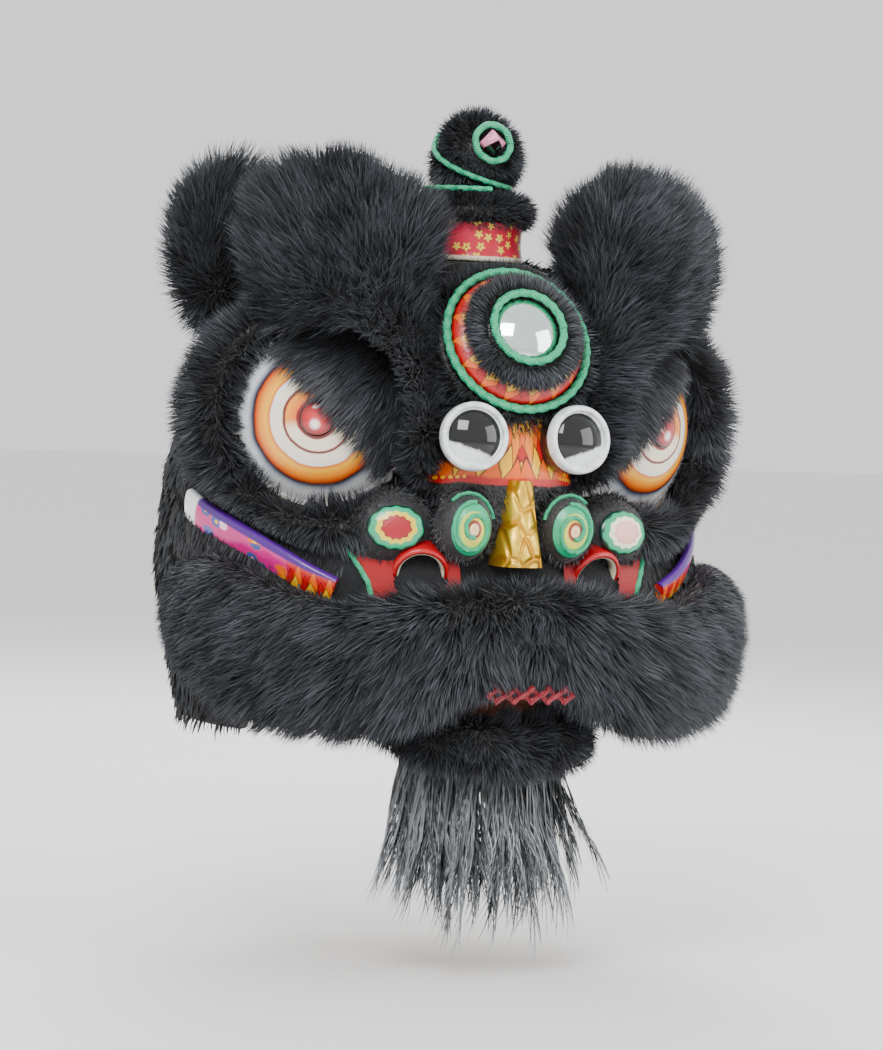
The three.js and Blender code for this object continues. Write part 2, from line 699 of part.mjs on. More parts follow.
// Flared nostril: a short open funnel under the wing
function nostril(grow = 0) {
  const { centre, radius } = NOSE.nostril;
  const look = vec(0.2, -0.86, -0.46).normalize();
  const outer = radius + grow;
  const inner = radius - 9;
  const profile = [
    [0, -40],
    [outer - 6, -40],
    [outer, 0],
    [outer - 3, 6],
    ...(grow ? [] : [[inner, 3], [inner - 4, -16]]),
    [0, grow ? 6 : -16],
  ];
  return turned(profile, 12, centre, look);
}

// Painted cheek band between the eye fur and the lip
const BAND_ROWS = [
  { x: 304, z: 186, across: 15 },
  { x: 292, z: 168, across: 18 },
  { x: 262, z: 143, across: 18 },
  { x: 226, z: 118, across: 17 },
  { x: 194, z: 104, across: 13 },
];
const BAND_RAISE = 5;

function cheekBand(grow = 0) {
  const rows = BAND_ROWS.map(({ x, z, across }) => ({ x, y: faceY(x, z), z, across, out: BAND_RAISE }));
  return furRoll({ rows, steps: 6, sides: 6, lock: 0, grow });
}

// Fur pieces: rows of centre, half width across and half depth out
const BROW_ROWS = [
  { x: 104, y: -160, z: 236, across: 16, out: 20 },
  { x: 112, y: -152, z: 282, across: 42, out: 40 },
  { x: 142, y: -128, z: 350, across: 70, out: 50 },
  { x: 168, y: -100, z: 420, across: 94, out: 54 },
  { x: 180, y: -76, z: 486, across: 104, out: 54 },
  { x: 190, y: -64, z: 536, across: 66, out: 36 },
];

const browRoll = (grow = 0) =>
  furRoll({ rows: BROW_ROWS, steps: 9, sides: 8, lock: 5, comb: vec(0.3, 0, 0.6), grow });

function brow() {
  return cut(browRoll(), shellTrim, eyeClear, lidSpace, bossClear, bridgeTrim, cupClear, hornClear);
}

// Fur that runs round the outer and lower side of the eye, by angle from straight out to the side
const CHEEK_ROWS = [
  { angle: 56, from: 122, across: 18, out: 20 },
  { angle: 32, from: 124, across: 27, out: 30 },
  { angle: 0, from: 125, across: 29, out: 32 },
  { angle: -40, from: 124, across: 28, out: 31 },
  { angle: -75, from: 124, across: 28, out: 30 },
  { angle: -105, from: 119, across: 24, out: 26 },
  { angle: -128, from: 114, across: 15, out: 18 },
];

function cheekFur() {
  const rows = CHEEK_ROWS.map(({ angle, from, across, out }) => {
    const point = EYE_CENTRE.clone()
      .addScaledVector(eyeSide, from * Math.cos(rad(angle)))
      .addScaledVector(vec(0, 0, 1), from * Math.sin(rad(angle)))
      .addScaledVector(eyeLook, -2);
    const y = Math.min(point.y, faceY(point.x, point.z) - 6);
    return { x: point.x, y, z: point.z, across, out };
  });
  const core = EYE_CENTRE.clone().addScaledVector(eyeLook, -FAR);
  const roll = furRoll({ rows, steps: 12, sides: 6, lock: 4, comb: vec(0.4, 0, -0.6), core });
  const noseTools = [noseWing(GAP), noseButton(GAP), cheekBand(GAP)].map(solidOf);
  return cut(roll, shellTrim, eyeClear, lidSpace, bridgeTrim, solidOf(browRoll(1)), ...noseTools);
}

const LIP_HALF = [
  { x: 0, y: -234, z: 70, across: 62, out: 42 },
  { x: 96, y: -222, z: 48, across: 72, out: 44 },
  { x: 184, y: -184, z: 28, across: 82, out: 46 },
  { x: 260, y: -122, z: 44, across: 86, out: 46 },
  { x: 304, y: -56, z: 74, across: 80, out: 46 },
  { x: 312, y: -6, z: 92, across: 56, out: 34 },
];
const LIP_ROWS = [...LIP_HALF.slice(1).reverse().map((row) => ({ ...row, x: -row.x })), ...LIP_HALF];

function lipFur() {
  const core = vec(0, MID_Y, 60);
  const roll = furRoll({ rows: LIP_ROWS, steps: 24, sides: 8, lock: 6, comb: vec(0, 0, -0.7), core });
  const paired = [noseLobe(GAP), noseWing(GAP), nostril(GAP), cheekBand(GAP), barTool()];
  const tools = paired.flatMap((piece) => [solidOf(piece), solidOf(mirrored(piece))]);
  return cut(roll, shellTrim, bridgeTrim, ridgeTrim, solidOf(mouthBraid(GAP)), ...tools);
}

const barTool = () => turned(disc(BAR_RADIUS + GAP, 0, BAR_HALF + 1), 16, vec(0, 0, 0), vec(1, 0, 0));

// Red braid under the middle of the lip: a cord that waves back and forth
function mouthBraid(grow = 0) {
  const half = 50;
  const waves = 4;
  const points = Array.from({ length: 8 * waves + 1 }, (_, i) => {
    const t = i / (8 * waves);
    const x = lerp(-half, half, t);
    const swing = Math.sin(2 * Math.PI * waves * t);
    return vec(x, -212 + (x / 90) ** 2 * 8, 2 + 7 * swing);
  });
  return rod(new THREE.CatmullRomCurve3(points), 3.2 + grow, 22, 4);
}

// Ears: fur leaves that tip back on a pin
const EAR_PIVOT = vec(268, 38, 402);
const EAR_AXIS = vec(0.97, 0, -0.24).normalize();
const EAR_ROWS = [
  { x: 268, y: 38, z: 394, across: 28, out: 15 },
  { x: 274, y: 38, z: 430, across: 46, out: 25 },
  { x: 278, y: 38, z: 474, across: 54, out: 29 },
  { x: 280, y: 40, z: 514, across: 50, out: 26 },
  { x: 280, y: 42, z: 544, across: 30, out: 17 },
];

// Bent pin: a rod through the foot of the ear and a leg down into the shell
function earPin(grow = 0) {
  const inner = EAR_PIVOT.clone().addScaledVector(EAR_AXIS, -46);
  const outer = EAR_PIVOT.clone().addScaledVector(EAR_AXIS, 22 + grow);
  const leg = vec(inner.x - 14, inner.y, inner.z - 60);
  const path = new THREE.CatmullRomCurve3([
    leg,
    lerpPoint(leg, inner, 0.75),
    inner,
    lerpPoint(inner, outer, 0.2),
    outer,
  ]);
  return cut(rod(path, PIN_RADIUS + grow, 8, 6), shellTrim);
}

const lerpPoint = (a, b, t) => a.clone().lerp(b, t);

function ear() {
  const core = vec(290, FAR, 470);
  const leaf = furRoll({ rows: EAR_ROWS, steps: 9, sides: 8, lock: 4, comb: vec(0, 0, 0.7), core });
  const swing = turned(disc(PIN_RADIUS + 2 * GAP, -60, 24), 8, EAR_PIVOT, EAR_AXIS);
  return cut(leaf, shellTrim, solidOf(swing));
}

// Lower jaw: a red board on two knuckles round the cross bar, with a fur lip and a beard
const JAW = { half: 84, front: -184, back: -26, drop: 34, thick: 6, knuckle: 17, knuckleX: 64, knuckleWide: 24 };
const jawTilt = Math.atan2(JAW.drop, -JAW.front);
const jawPoint = (x, y, lift) =>
  vec(x, y * Math.cos(jawTilt) + lift * Math.sin(jawTilt), y * Math.sin(jawTilt) + lift * Math.cos(jawTilt));

function jawBoard() {
  const outline = new THREE.Shape();
  outline.moveTo(-JAW.half, JAW.back);
  outline.lineTo(-JAW.half, -80);
  outline.bezierCurveTo(-JAW.half, -150, -50, JAW.front, 0, JAW.front);
  outline.bezierCurveTo(50, JAW.front, JAW.half, -150, JAW.half, -80);
  outline.lineTo(JAW.half, JAW.back);
  const options = { depth: JAW.thick, curveSegments: 4, bevelEnabled: false };
  const board = new THREE.ExtrudeGeometry(outline, options).translate(0, 0, -JAW.thick - 8);
  board.rotateX(jawTilt);
  const plate = facingOut(mergeVertices(stripped(board), 1e-3));
  const knuckles = [-1, 1].flatMap((side) => jawKnuckle(side));
  const bore = turned(disc(BAR_RADIUS + GAP, -FAR, FAR), 14, vec(0, 0, 0), vec(1, 0, 0));
  return cut(join(plate, ...knuckles), solidOf(bore));
}

// Round lug on the bar with a strap that runs forward onto the board
function jawKnuckle(side) {
  const centre = vec(side * JAW.knuckleX, 0, 0);
  const half = JAW.knuckleWide / 2;
  const lug = turned(disc(JAW.knuckle, -half, half), 14, centre, vec(1, 0, 0));
  const strap = new THREE.BoxGeometry(JAW.knuckleWide, 46, 10);
  strap.translate(centre.x, -33, -11).rotateX(jawTilt);
  return [lug, facingOut(mergeVertices(stripped(strap), 1e-3))];
}

// Fur lip in front of the board's edge: edge point, how far out of it the roll's middle is, and the roll's sizes
const JAW_LIP_HALF = [
  { x: 0, y: -184, aside: 0, ahead: 27, across: 31, out: 24 },
  { x: 54, y: -160, aside: 17, ahead: 22, across: 31, out: 24 },
  { x: 80, y: -120, aside: 23, ahead: 10, across: 26, out: 20 },
  { x: 84, y: -78, aside: 19, ahead: 0, across: 17, out: 14 },
];

function jawFur() {
  const full = [...JAW_LIP_HALF.slice(1).reverse().map((row) => flipped(row)), ...JAW_LIP_HALF];
  const rows = full.map(({ x, y, aside, ahead, across, out }) => {
    const point = jawPoint(x + aside, y - ahead, -22);
    return { x: point.x, y: point.y, z: point.z, across, out };
  });
  const core = vec(0, 0, -50);
  return furRoll({ rows, steps: 16, sides: 6, lock: 3, comb: vec(0, 0, -0.6), core });
}

const flipped = (row) => ({ ...row, x: -row.x, aside: -row.aside });

// Beard: a backing band under the board that parts into hanging locks
const BEARD = { columns: 19, half: 88, top: -54, arc: 52, back: -158, drop: 240, thick: 16, spread: 44 };
const BEARD_LEVELS = [
  { down: 0, depth: 0.7, ridge: 0, comb: 0 },
  { down: 0.08, depth: 1, ridge: 0.2, comb: 0 },
  { down: 0.35, depth: 1, ridge: 0.5, comb: 0 },
  { down: 0.65, depth: 0.8, ridge: 0.7, comb: 0 },
  { down: 0.82, depth: 0.5, ridge: 0.6, comb: 0.3 },
  { down: 0.88, depth: 0.15, ridge: 0.2, comb: 1 },
];

function beard() {
  const { columns, half, top, arc, back, drop, thick, spread } = BEARD;
  const pointAt = (i, j) => {
    const { down, depth, ridge, comb } = BEARD_LEVELS[i];
    const front = j < columns;
    const column = front ? j : 2 * columns - 1 - j;
    const lean = (2 * column) / (columns - 1) - 1;
    const lock = column % 2 ? 1 : -1;
    const face = (front ? -1 : 1) * (thick / 2) * depth * (1 + 0.5 * ridge * lock);
    const sag = 1 - 0.16 * lean * lean;
    const tip = comb * (lock > 0 ? 0.12 : -0.14) * drop;
    const sway = 4 * Math.sin(column * 1.9) * down;
    return vec(
      half * lean + spread * lean * down + sway,
      back + arc * lean * lean + face,
      top - down * drop * sag - tip * sag,
    );
  };
  return skin(BEARD_LEVELS.length, 2 * columns, pointAt, "zip");
}

// Cuts in the shell: mouth, eye holes with room for the lids, and the bar's holes
function headShell() {
  const mouth = new THREE.BoxGeometry(2 * FAR, FAR, FAR);
  mouth.translate(0, MOUTH_BACK - FAR / 2, MOUTH_TOP - FAR / 2);
  const bar = turned(disc(BAR_RADIUS + GAP, -FAR, FAR), 12, vec(0, 0, 0), vec(1, 0, 0));
  const eyeTools = [geometryOf(eyeHole), geometryOf(lidSpace)];
  const tools = [mouth, bar, ...eyeTools, ...eyeTools.map(mirrored)];
  return cut(shellGeometry(), ...tools.map(solidOf));
}

// Scene graph
const material = (finish) => new THREE.MeshStandardMaterial(FINISH[finish]);

function mesh(name, geometry, finish) {
  const made = new THREE.Mesh(geometry, material(finish));
  made.name = name;
  return made;
}

function bothSides(name, geometry, finish) {
  return [mesh(`${name}_left`, geometry, finish), mesh(`${name}_right`, mirrored(geometry), finish)];
}

function headGroup() {
  const group = new THREE.Group();
  const boss = cut(bossTurned(BOSS_PROFILE, 20), shellTrim);
  const bridge = cut(bridgeGeometry(), shellTrim, bossTrim);
  const lobe = cut(noseLobe(), shellTrim, bridgeTrim, ridgeTrim);
  const wing = cut(noseWing(), shellTrim, bridgeTrim, solidOf(noseLobe(GAP)), solidOf(noseButton(GAP)));
  const funnel = cut(
    nostril(),
    shellTrim,
    bridgeTrim,
    solidOf(noseLobe(GAP)),
    solidOf(noseWing(GAP)),
    solidOf(noseButton(GAP)),
  );
  group.add(
    mesh("head_shell", headShell(), "black_plush"),
    mesh("cross_bar", turned(disc(BAR_RADIUS, -BAR_HALF, BAR_HALF), 16, vec(0, 0, 0), vec(1, 0, 0)), "cane"),
    mesh("forehead_boss", boss, "flame"),
    mesh("forehead_cord", bossRing(BOSS_RADIUS + CORD_RADIUS + GAP, CORD_RADIUS, 0, 22), "green_cord"),
    mesh("forehead_fur", bossFur(), "fur"),
    mesh("mirror_cord", bossRing(41, 4.5, BOSS_RISE + 4.5 + GAP, 20), "green_cord"),
    mesh("forehead_mirror", mirrorDome(MIRROR_RADIUS, 12, BOSS_RISE + GAP, BOSS_CENTRE, bossLook), "mirror"),
    mesh("nose_bridge", bridge, "flame"),
    mesh("nose_ridge", cut(noseRidge(), shellTrim, bridgeTrim), "gold"),
    mesh("lip_fur", lipFur(), "fur"),
    mesh("mouth_braid", mouthBraid(), "red_braid"),
    ...bothSides("mirror_cup", mirrorCup(), "white_rim"),
    ...bothSides("nose_mirror", mirrorDome(CUP_RADIUS - 8, 11, GAP, CUP_CENTRE, CUP_LOOK), "mirror"),
    ...bothSides("nose_lobe", lobe, "nose_black"),
    ...bothSides("nose_wing", wing, "nose_black"),
    ...bothSides("nose_button", noseButton(), "button"),
    ...bothSides("nostril", funnel, "nostril"),
    ...bothSides("cheek_band", cut(cheekBand(), shellTrim), "pink_band"),
    ...bothSides("eye_drum", eyeDrum(), "eye"),
    ...bothSides("pupil", pupil(), "pupil"),
    ...bothSides("eyelid_pin", lidPin(), "cane"),
    ...bothSides("brow_fur", brow(), "fur"),
    ...bothSides("cheek_fur", cheekFur(), "fur"),
    ...bothSides("ear_pin", earPin(), "cane"),
  );
  return group;
}

function hornGroup() {
  const group = new THREE.Group();
  const cords = hornCords();
  group.add(
    mesh("horn_base", hornBase(), "horn_pink"),
    mesh("horn_brim", hornBrim(), "fur"),
    mesh("horn_knob", hornKnob(), "fur"),
    ...CORD_TURNS.map(({ name }, i) => mesh(name, cords[i], "green_cord")),
    mesh("gem_cord", hornGemRing(), "green_cord"),
    mesh("horn_gem", hornGem(), "gem"),
  );
  return group;
}

function jawGroup() {
  const group = new THREE.Group();
  group.add(
    mesh("jaw_board", jawBoard(), "jaw_red"),
    mesh("jaw_fur", jawFur(), "fur"),
    mesh("beard", beard(), "beard"),
  );
  return group;
}

function movingSides() {
  const group = new THREE.Group();
  group.add(...bothSides("eyelid", eyelid(), "fur"), ...bothSides("ear", ear(), "fur"));
  return group;
}

const lionHead = new THREE.Group();
lionHead.add(headGroup(), hornGroup(), jawGroup(), movingSides());

export default lionHead;
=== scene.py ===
"""Looks of a lion dance head, laid over its frame: fur, painted paper, mirrors, cords and horn."""

import math
from functools import cache

import bmesh
import bpy
import numpy as np
from mathutils import Matrix, Vector


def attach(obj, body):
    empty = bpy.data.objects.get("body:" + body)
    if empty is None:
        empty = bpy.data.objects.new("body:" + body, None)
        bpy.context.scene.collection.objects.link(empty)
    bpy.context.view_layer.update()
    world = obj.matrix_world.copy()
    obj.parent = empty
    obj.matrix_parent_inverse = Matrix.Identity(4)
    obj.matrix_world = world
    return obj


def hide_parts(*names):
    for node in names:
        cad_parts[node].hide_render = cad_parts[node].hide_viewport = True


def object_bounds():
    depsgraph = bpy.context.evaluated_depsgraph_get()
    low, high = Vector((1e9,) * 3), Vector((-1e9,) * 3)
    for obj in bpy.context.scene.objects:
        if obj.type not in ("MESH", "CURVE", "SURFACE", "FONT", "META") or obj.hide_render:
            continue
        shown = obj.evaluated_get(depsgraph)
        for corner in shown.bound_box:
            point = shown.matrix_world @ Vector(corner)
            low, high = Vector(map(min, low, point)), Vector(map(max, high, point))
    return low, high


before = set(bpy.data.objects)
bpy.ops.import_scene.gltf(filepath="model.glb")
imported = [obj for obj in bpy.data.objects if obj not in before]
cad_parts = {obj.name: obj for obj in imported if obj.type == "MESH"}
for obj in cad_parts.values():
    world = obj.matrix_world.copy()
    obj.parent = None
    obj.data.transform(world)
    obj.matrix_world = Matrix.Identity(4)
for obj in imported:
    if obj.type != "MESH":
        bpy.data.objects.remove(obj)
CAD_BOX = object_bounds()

bl_info = {
    "name": "Lion Dance Head",
    "version": (1, 0, 0),
    "blender": (4, 5, 0),
    "location": "View3D > Sidebar > Lion Head",
    "description": "Builds the fur, paint and trim of a lion dance head over its frame",
    "category": "Add Mesh",
}

MM = 0.001
UP = np.array([0.0, 0.0, 1.0])
SIDES = {"left": 1, "right": -1}  # the lion's own left is +X

# Sizes below are in millimetres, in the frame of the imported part.
BACK_POWER = 2.2  # roundness of the back of each level section of the shell
MID_Y = 60  # depth at which the shell is widest
WALL = 3  # paper of the shell, eyes and lids
MOUTH_TOP, MOUTH_BACK = 25, -35
BAR_HALF, BAR_RADIUS = 284, 10
SHELL_ROWS = np.array([  # height, half width, front, back, roundness of the front
    (-60, 280, -150, 300, 2.2),
    (0, 292, -180, 318, 2.2),
    (105, 311, -192, 330, 2.3),
    (170, 310, -172, 332, 1.9),
    (235, 302, -134, 326, 2.0),
    (292, 284, -126, 312, 2.2),
    (360, 258, -128, 278, 2.1),
    (415, 208, -124, 226, 2.0),
    (450, 144, -106, 152, 2.0),
    (470, 66, -92, 42, 2.0),
])
CORE = np.array([0, 70, 250.0])  # middle of the hollow, which fur faces away from

EYE_CENTRE = np.array([190, -76, 290.0])
EYE_RADIUS, EYE_DOME, EYE_DEPTH = 95, 45, 90
EYE_LOOK = np.array([math.sin(math.radians(25)), -math.cos(math.radians(25)), 0])
EYE_SIDE = np.array([math.cos(math.radians(25)), math.sin(math.radians(25)), 0])
EYE_SPHERE = (EYE_RADIUS**2 + EYE_DOME**2) / (2 * EYE_DOME)
EYE_HEART = EYE_CENTRE - EYE_LOOK * (EYE_SPHERE - EYE_DOME)
LID_AXIS = EYE_SIDE * math.cos(math.radians(46)) + UP * math.sin(math.radians(46))
LID_UP = np.cross(LID_AXIS, EYE_LOOK) * (1 if np.cross(LID_AXIS, EYE_LOOK)[2] > 0 else -1)
LID_INNER = EYE_SPHERE + 8
LID_ROOM = LID_INNER + 14  # radius of the room that a lid and its arms swing in
LID_SPAN = 107  # half of that room's length along the lid's axis
PUPIL_RADIUS = 20

BOSS_CENTRE, BOSS_RADIUS = np.array([0, -173, 385.0]), 77
BOSS_LOOK = np.array([0, -math.cos(math.radians(25)), math.sin(math.radians(25))])
HORN_BASE = np.array([0, -30, 470.0])
CUP_CENTRE = np.array([62, -212, 279.0])
CUP_LOOK = np.array([0.14, -0.985, 0.1]) / np.linalg.norm([0.14, -0.985, 0.1])
LOBE_CENTRE, LOBE_RADII = np.array([60, -186, 180.0]), np.array([32, 33, 39.0])
WING_CENTRE, WING_RADII = np.array([127, -146, 172.0]), np.array([49, 35, 43.0])
BUTTON_WIDE, BUTTON_TALL, BUTTON_RISE = 32, 25, 9
NOSTRIL_CENTRE = np.array([104, -176, 128.0])
NOSTRIL_LOOK = np.array([0.2, -0.86, -0.46]) / np.linalg.norm([0.2, -0.86, -0.46])
KNOB_RADIUS, KNOB_FOOT, KNOB_HEIGHT = 46, 78, 88
JAW_HALF = 84
CORD_TWIST = 0.11  # how far a twisted cord's strands stand out, as a share of its radius
CREASE = 50  # degrees between faces over which an edge is sharp
FLOOR_SIZE, FLOOR_DROP = 30, 0.03  # metres

# Fur rolls: centre, half width across and half depth out
BROW_ROWS = [
    (104, -160, 236, 16, 20),
    (112, -152, 282, 42, 40),
    (142, -128, 350, 70, 50),
    (168, -100, 420, 94, 54),
    (180, -76, 486, 104, 54),
    (190, -64, 536, 66, 36),
]
CHEEK_TURNS = [  # angle round the eye, distance from its middle, half width, half depth
    (56, 122, 18, 20),
    (32, 124, 27, 30),
    (0, 125, 29, 32),
    (-40, 124, 28, 31),
    (-75, 124, 28, 30),
    (-105, 119, 24, 26),
    (-128, 114, 15, 18),
]
LIP_HALF = [
    (0, -234, 70, 62, 42),
    (96, -222, 48, 72, 44),
    (184, -184, 28, 82, 46),
    (260, -122, 44, 86, 46),
    (304, -56, 74, 80, 46),
    (312, -6, 92, 56, 34),
]
EAR_ROWS = [
    (268, 38, 394, 28, 15),
    (274, 38, 430, 46, 25),
    (278, 38, 474, 54, 29),
    (280, 40, 514, 50, 26),
    (280, 42, 544, 30, 17),
]
JAW_TILT = math.atan2(34, 184)
JAW_LIP_HALF = [  # edge of the board, offset to the roll's middle, half width, half depth
    (0, -184, 0, 27, 31, 24),
    (54, -160, 17, 22, 31, 24),
    (80, -120, 23, 10, 26, 20),
    (84, -78, 19, 0, 17, 14),
]
BAND_ROWS = [  # side distance, height, half width
    (304, 186, 15),
    (292, 168, 18),
    (262, 143, 18),
    (226, 118, 17),
    (194, 104, 13),
]


def paint(code):
    """Linear colour of a six-digit web colour."""
    shares = [int(code[i : i + 2], 16) / 255 for i in (0, 2, 4)]
    return [c / 12.92 if c <= 0.04045 else ((c + 0.055) / 1.055) ** 2.4 for c in shares] + [1.0]


def colour(name, code, text):
    return bpy.props.FloatVectorProperty(
        name=name, description=text, subtype="COLOR", size=4, min=0, max=1, default=paint(code)
    )


def length(name, millimetres, text):
    return bpy.props.FloatProperty(
        name=name, description=text, default=millimetres * MM, min=0, unit="LENGTH"
    )


def number(name, value, text):
    return bpy.props.FloatProperty(name=name, description=text, default=value)


def turn(name, degrees, text):
    return bpy.props.FloatProperty(
        name=name, description=text, default=math.radians(degrees), unit="ROTATION"
    )


class LionFur(bpy.types.PropertyGroup):
    """Deep pile that covers the lips, brows, cheeks and ears."""

    pile: length("Pile", 40, "Length of a strand of deep fur")
    strand: length("Strand", 1.25, "Width of a strand at its root")
    density: number("Density", 30.0, "Strands in a square centimetre of deep fur")
    clump: length("Clump", 30, "Size of the clumps that strands lean together in")
    # Root and tip also paint light on each strand: the dark root is painted shade deep in the pile, and the
    # slate tip is a painted highlight.
    root: colour("Root", "050607", "Colour of the fur near the skin")
    tip: colour("Tip", "5a5f69", "Colour of the fur at the tips")
    beard: colour("Beard", "8b9096", "Colour of the beard's bright strands")


class LionPaint(bpy.types.PropertyGroup):
    """Colours of the painted and sewn pieces."""

    green: colour("Green cord", "0aa673", "Twisted cord round the mirrors, nose and horn")
    red: colour("Flame red", "c00b0b", "Ground of the painted flames")
    orange: colour("Flame orange", "ee6200", "Middle of the painted flames")
    yellow: colour("Flame yellow", "ffbf0f", "Light edge of the painted flames")
    ink: colour("Ink", "0d0a0c", "Outlines of the painting")
    white: colour("White", "eceff2", "Whites of the eyes and cups")
    cream: colour("Cream", "f3e7cf", "Inner ring of the eyes")
    pink: colour("Pink", "d01080", "Ground of the cheek bands")
    purple: colour("Purple", "4a0f7c", "Upper edge of the cheek bands")
    gold: colour("Gold foil", "ffd94a", "Foil of the nose ridge")
    braid: colour("Braid", "8a0c22", "Braid under the lip")


class LionStage(bpy.types.PropertyGroup):
    """Camera and floor."""

    azimuth: turn("Azimuth", -22, "Turn of the camera round the head")
    elevation: turn("Elevation", 3, "Height of the camera over the horizon")
    roll: turn("Roll", 2.5, "Lean of the picture")
    distance: length("Distance", 4200, "From the camera to the middle of the head")
    lens: number("Lens", 125.0, "Focal length of the camera")
    floor: colour("Floor", "f3f2f0", "Colour of the floor")


# Forms


def unit(vectors):
    return vectors / np.maximum(np.linalg.norm(vectors, axis=-1, keepdims=True), 1e-9)


def axes(look, up=UP):
    """Right, up and forward of something that looks one way."""
    look = unit(np.asarray(look, float))
    if abs(look @ up) > 0.95:
        up = np.array([0, 1.0, 0])
    side = unit(np.cross(up, look))
    return side, np.cross(look, side), look


def spline(rows, count):
    """Smooth curve through rows of numbers, sampled evenly from the first row to the last."""
    rows = np.asarray(rows, float)
    ends = np.vstack([2 * rows[0] - rows[1], rows, 2 * rows[-1] - rows[-2]])
    at = np.linspace(0, len(rows) - 1, count)
    k = np.minimum(at.astype(int), len(rows) - 2)
    f = (at - k)[:, None]
    a, b, c, d = (ends[k + i] for i in range(4))
    return 0.5 * (2 * b + (c - a) * f + (2 * a - 5 * b + 4 * c - d) * f**2 + (3 * b - a - 3 * c + d) * f**3)


def soften(profile, times=2):
    """Rounds the corners of an open outline."""
    line = np.asarray(profile, float)
    for _ in range(times):
        cut = np.stack([line[:-1] * 0.75 + line[1:] * 0.25, line[:-1] * 0.25 + line[1:] * 0.75], 1)
        line = np.vstack([line[:1], cut.reshape(-1, line.shape[1]), line[-1:]])
    return line


class Form:
    """A surface in millimetres: points, faces, and each point's place in the pattern on it."""

    def __init__(self, points, faces, spots=None):
        self.points = np.asarray(points, float).reshape(-1, 3)
        self.faces = [tuple(face) for face in faces]
        self.spots = self.points if spots is None else np.asarray(spots, float).reshape(-1, 3)

    def __add__(self, other):
        shift = len(self.points)
        moved = [tuple(i + shift for i in face) for face in other.faces]
        points = np.vstack([self.points, other.points])
        return Form(points, self.faces + moved, np.vstack([self.spots, other.spots]))

    def sided(self, sign):
        """The form itself, or its mirror image for the lion's right."""
        if sign > 0:
            return self
        return Form(self.points * (-1, 1, 1), [face[::-1] for face in self.faces], self.spots)


def grid(points, across=True, ends=False, caps=False, spots=None):
    """Faces over rows of points; across joins each row into a ring, ends joins the last row to the first."""
    rows, sides = points.shape[:2]
    faces = []
    for i in range(rows if ends else rows - 1):
        for j in range(sides if across else sides - 1):
            here, over, k = i * sides, (j + 1) % sides, (i + 1) % rows * sides
            faces.append((here + j, here + over, k + over, k + j))
    if caps:
        faces += [tuple(range(sides))[::-1], tuple(range((rows - 1) * sides, rows * sides))]
    return Form(points, faces, spots)


def lathe(profile, origin, look, sides=48, ends=False):
    """Turned form: a profile of radius and height about an axis; its pattern is side, up and height."""
    side, top, ahead = axes(look)
    angle = np.linspace(0, 2 * np.pi, sides, endpoint=False)
    radius, height = (np.asarray(profile, float)[:, i, None] for i in (0, 1))
    x, y, h = radius * np.cos(angle), radius * np.sin(angle), height + 0 * angle
    spots = np.stack([x, y, h], -1)
    points = np.asarray(origin) + spots @ np.stack([side, top, ahead])
    return grid(points, ends=ends, spots=spots)


def tube(path, radius, sides=8, closed=False, ply=0, lay=22):
    """Cord along a path. ply strands twist round it, each once in every lay; its pattern is run and angle."""
    path = np.asarray(path, float)
    if closed:
        along = unit(np.roll(path, -1, 0) - np.roll(path, 1, 0))
    else:
        along = unit(np.gradient(path, axis=0))
    normal = [axes(along[0])[0]]
    for tangent in along[1:]:
        normal.append(unit(normal[-1] - tangent * (normal[-1] @ tangent)))
    normal = np.array(normal)
    run = np.concatenate([[0], np.cumsum(np.linalg.norm(np.diff(path, axis=0), axis=1))])
    if closed:
        whole = run[-1] + np.linalg.norm(path[0] - path[-1])
        lay = whole / max(1, round(whole / lay))
    binormal = np.cross(along, normal)
    angle = np.linspace(0, 2 * np.pi, sides, endpoint=False)
    radius = np.broadcast_to(radius, len(path))[:, None] * (
        1 + (CORD_TWIST * np.cos(ply * angle - 2 * np.pi * run[:, None] / lay) if ply else 0 * angle)
    )
    ray = np.cos(angle)[:, None] * normal[:, None] + np.sin(angle)[:, None] * binormal[:, None]
    points = path[:, None] + ray * radius[..., None]
    spots = np.stack(np.broadcast_arrays(run[:, None], angle[None], 0.0), -1)
    return grid(points, ends=closed, caps=not closed, spots=spots)


def ring_path(radius, origin, look, height=0.0, steps=120):
    side, top, ahead = axes(look)
    angle = np.linspace(0, 2 * np.pi, steps, endpoint=False)[:, None]
    return np.asarray(origin) + height * ahead + radius * (np.cos(angle) * side + np.sin(angle) * top)


def ellipsoid(centre, radii, sides=40, rings=24):
    """Egg form whose poles are up and down."""
    tilt = np.linspace(-np.pi / 2, np.pi / 2, rings)[:, None]
    angle = np.linspace(0, 2 * np.pi, sides, endpoint=False)
    ray = np.stack(
        [np.cos(tilt) * np.cos(angle), np.cos(tilt) * np.sin(angle), np.sin(tilt) + 0 * angle], -1
    )
    return grid(np.asarray(centre) + ray * np.asarray(radii), spots=ray * np.asarray(radii))


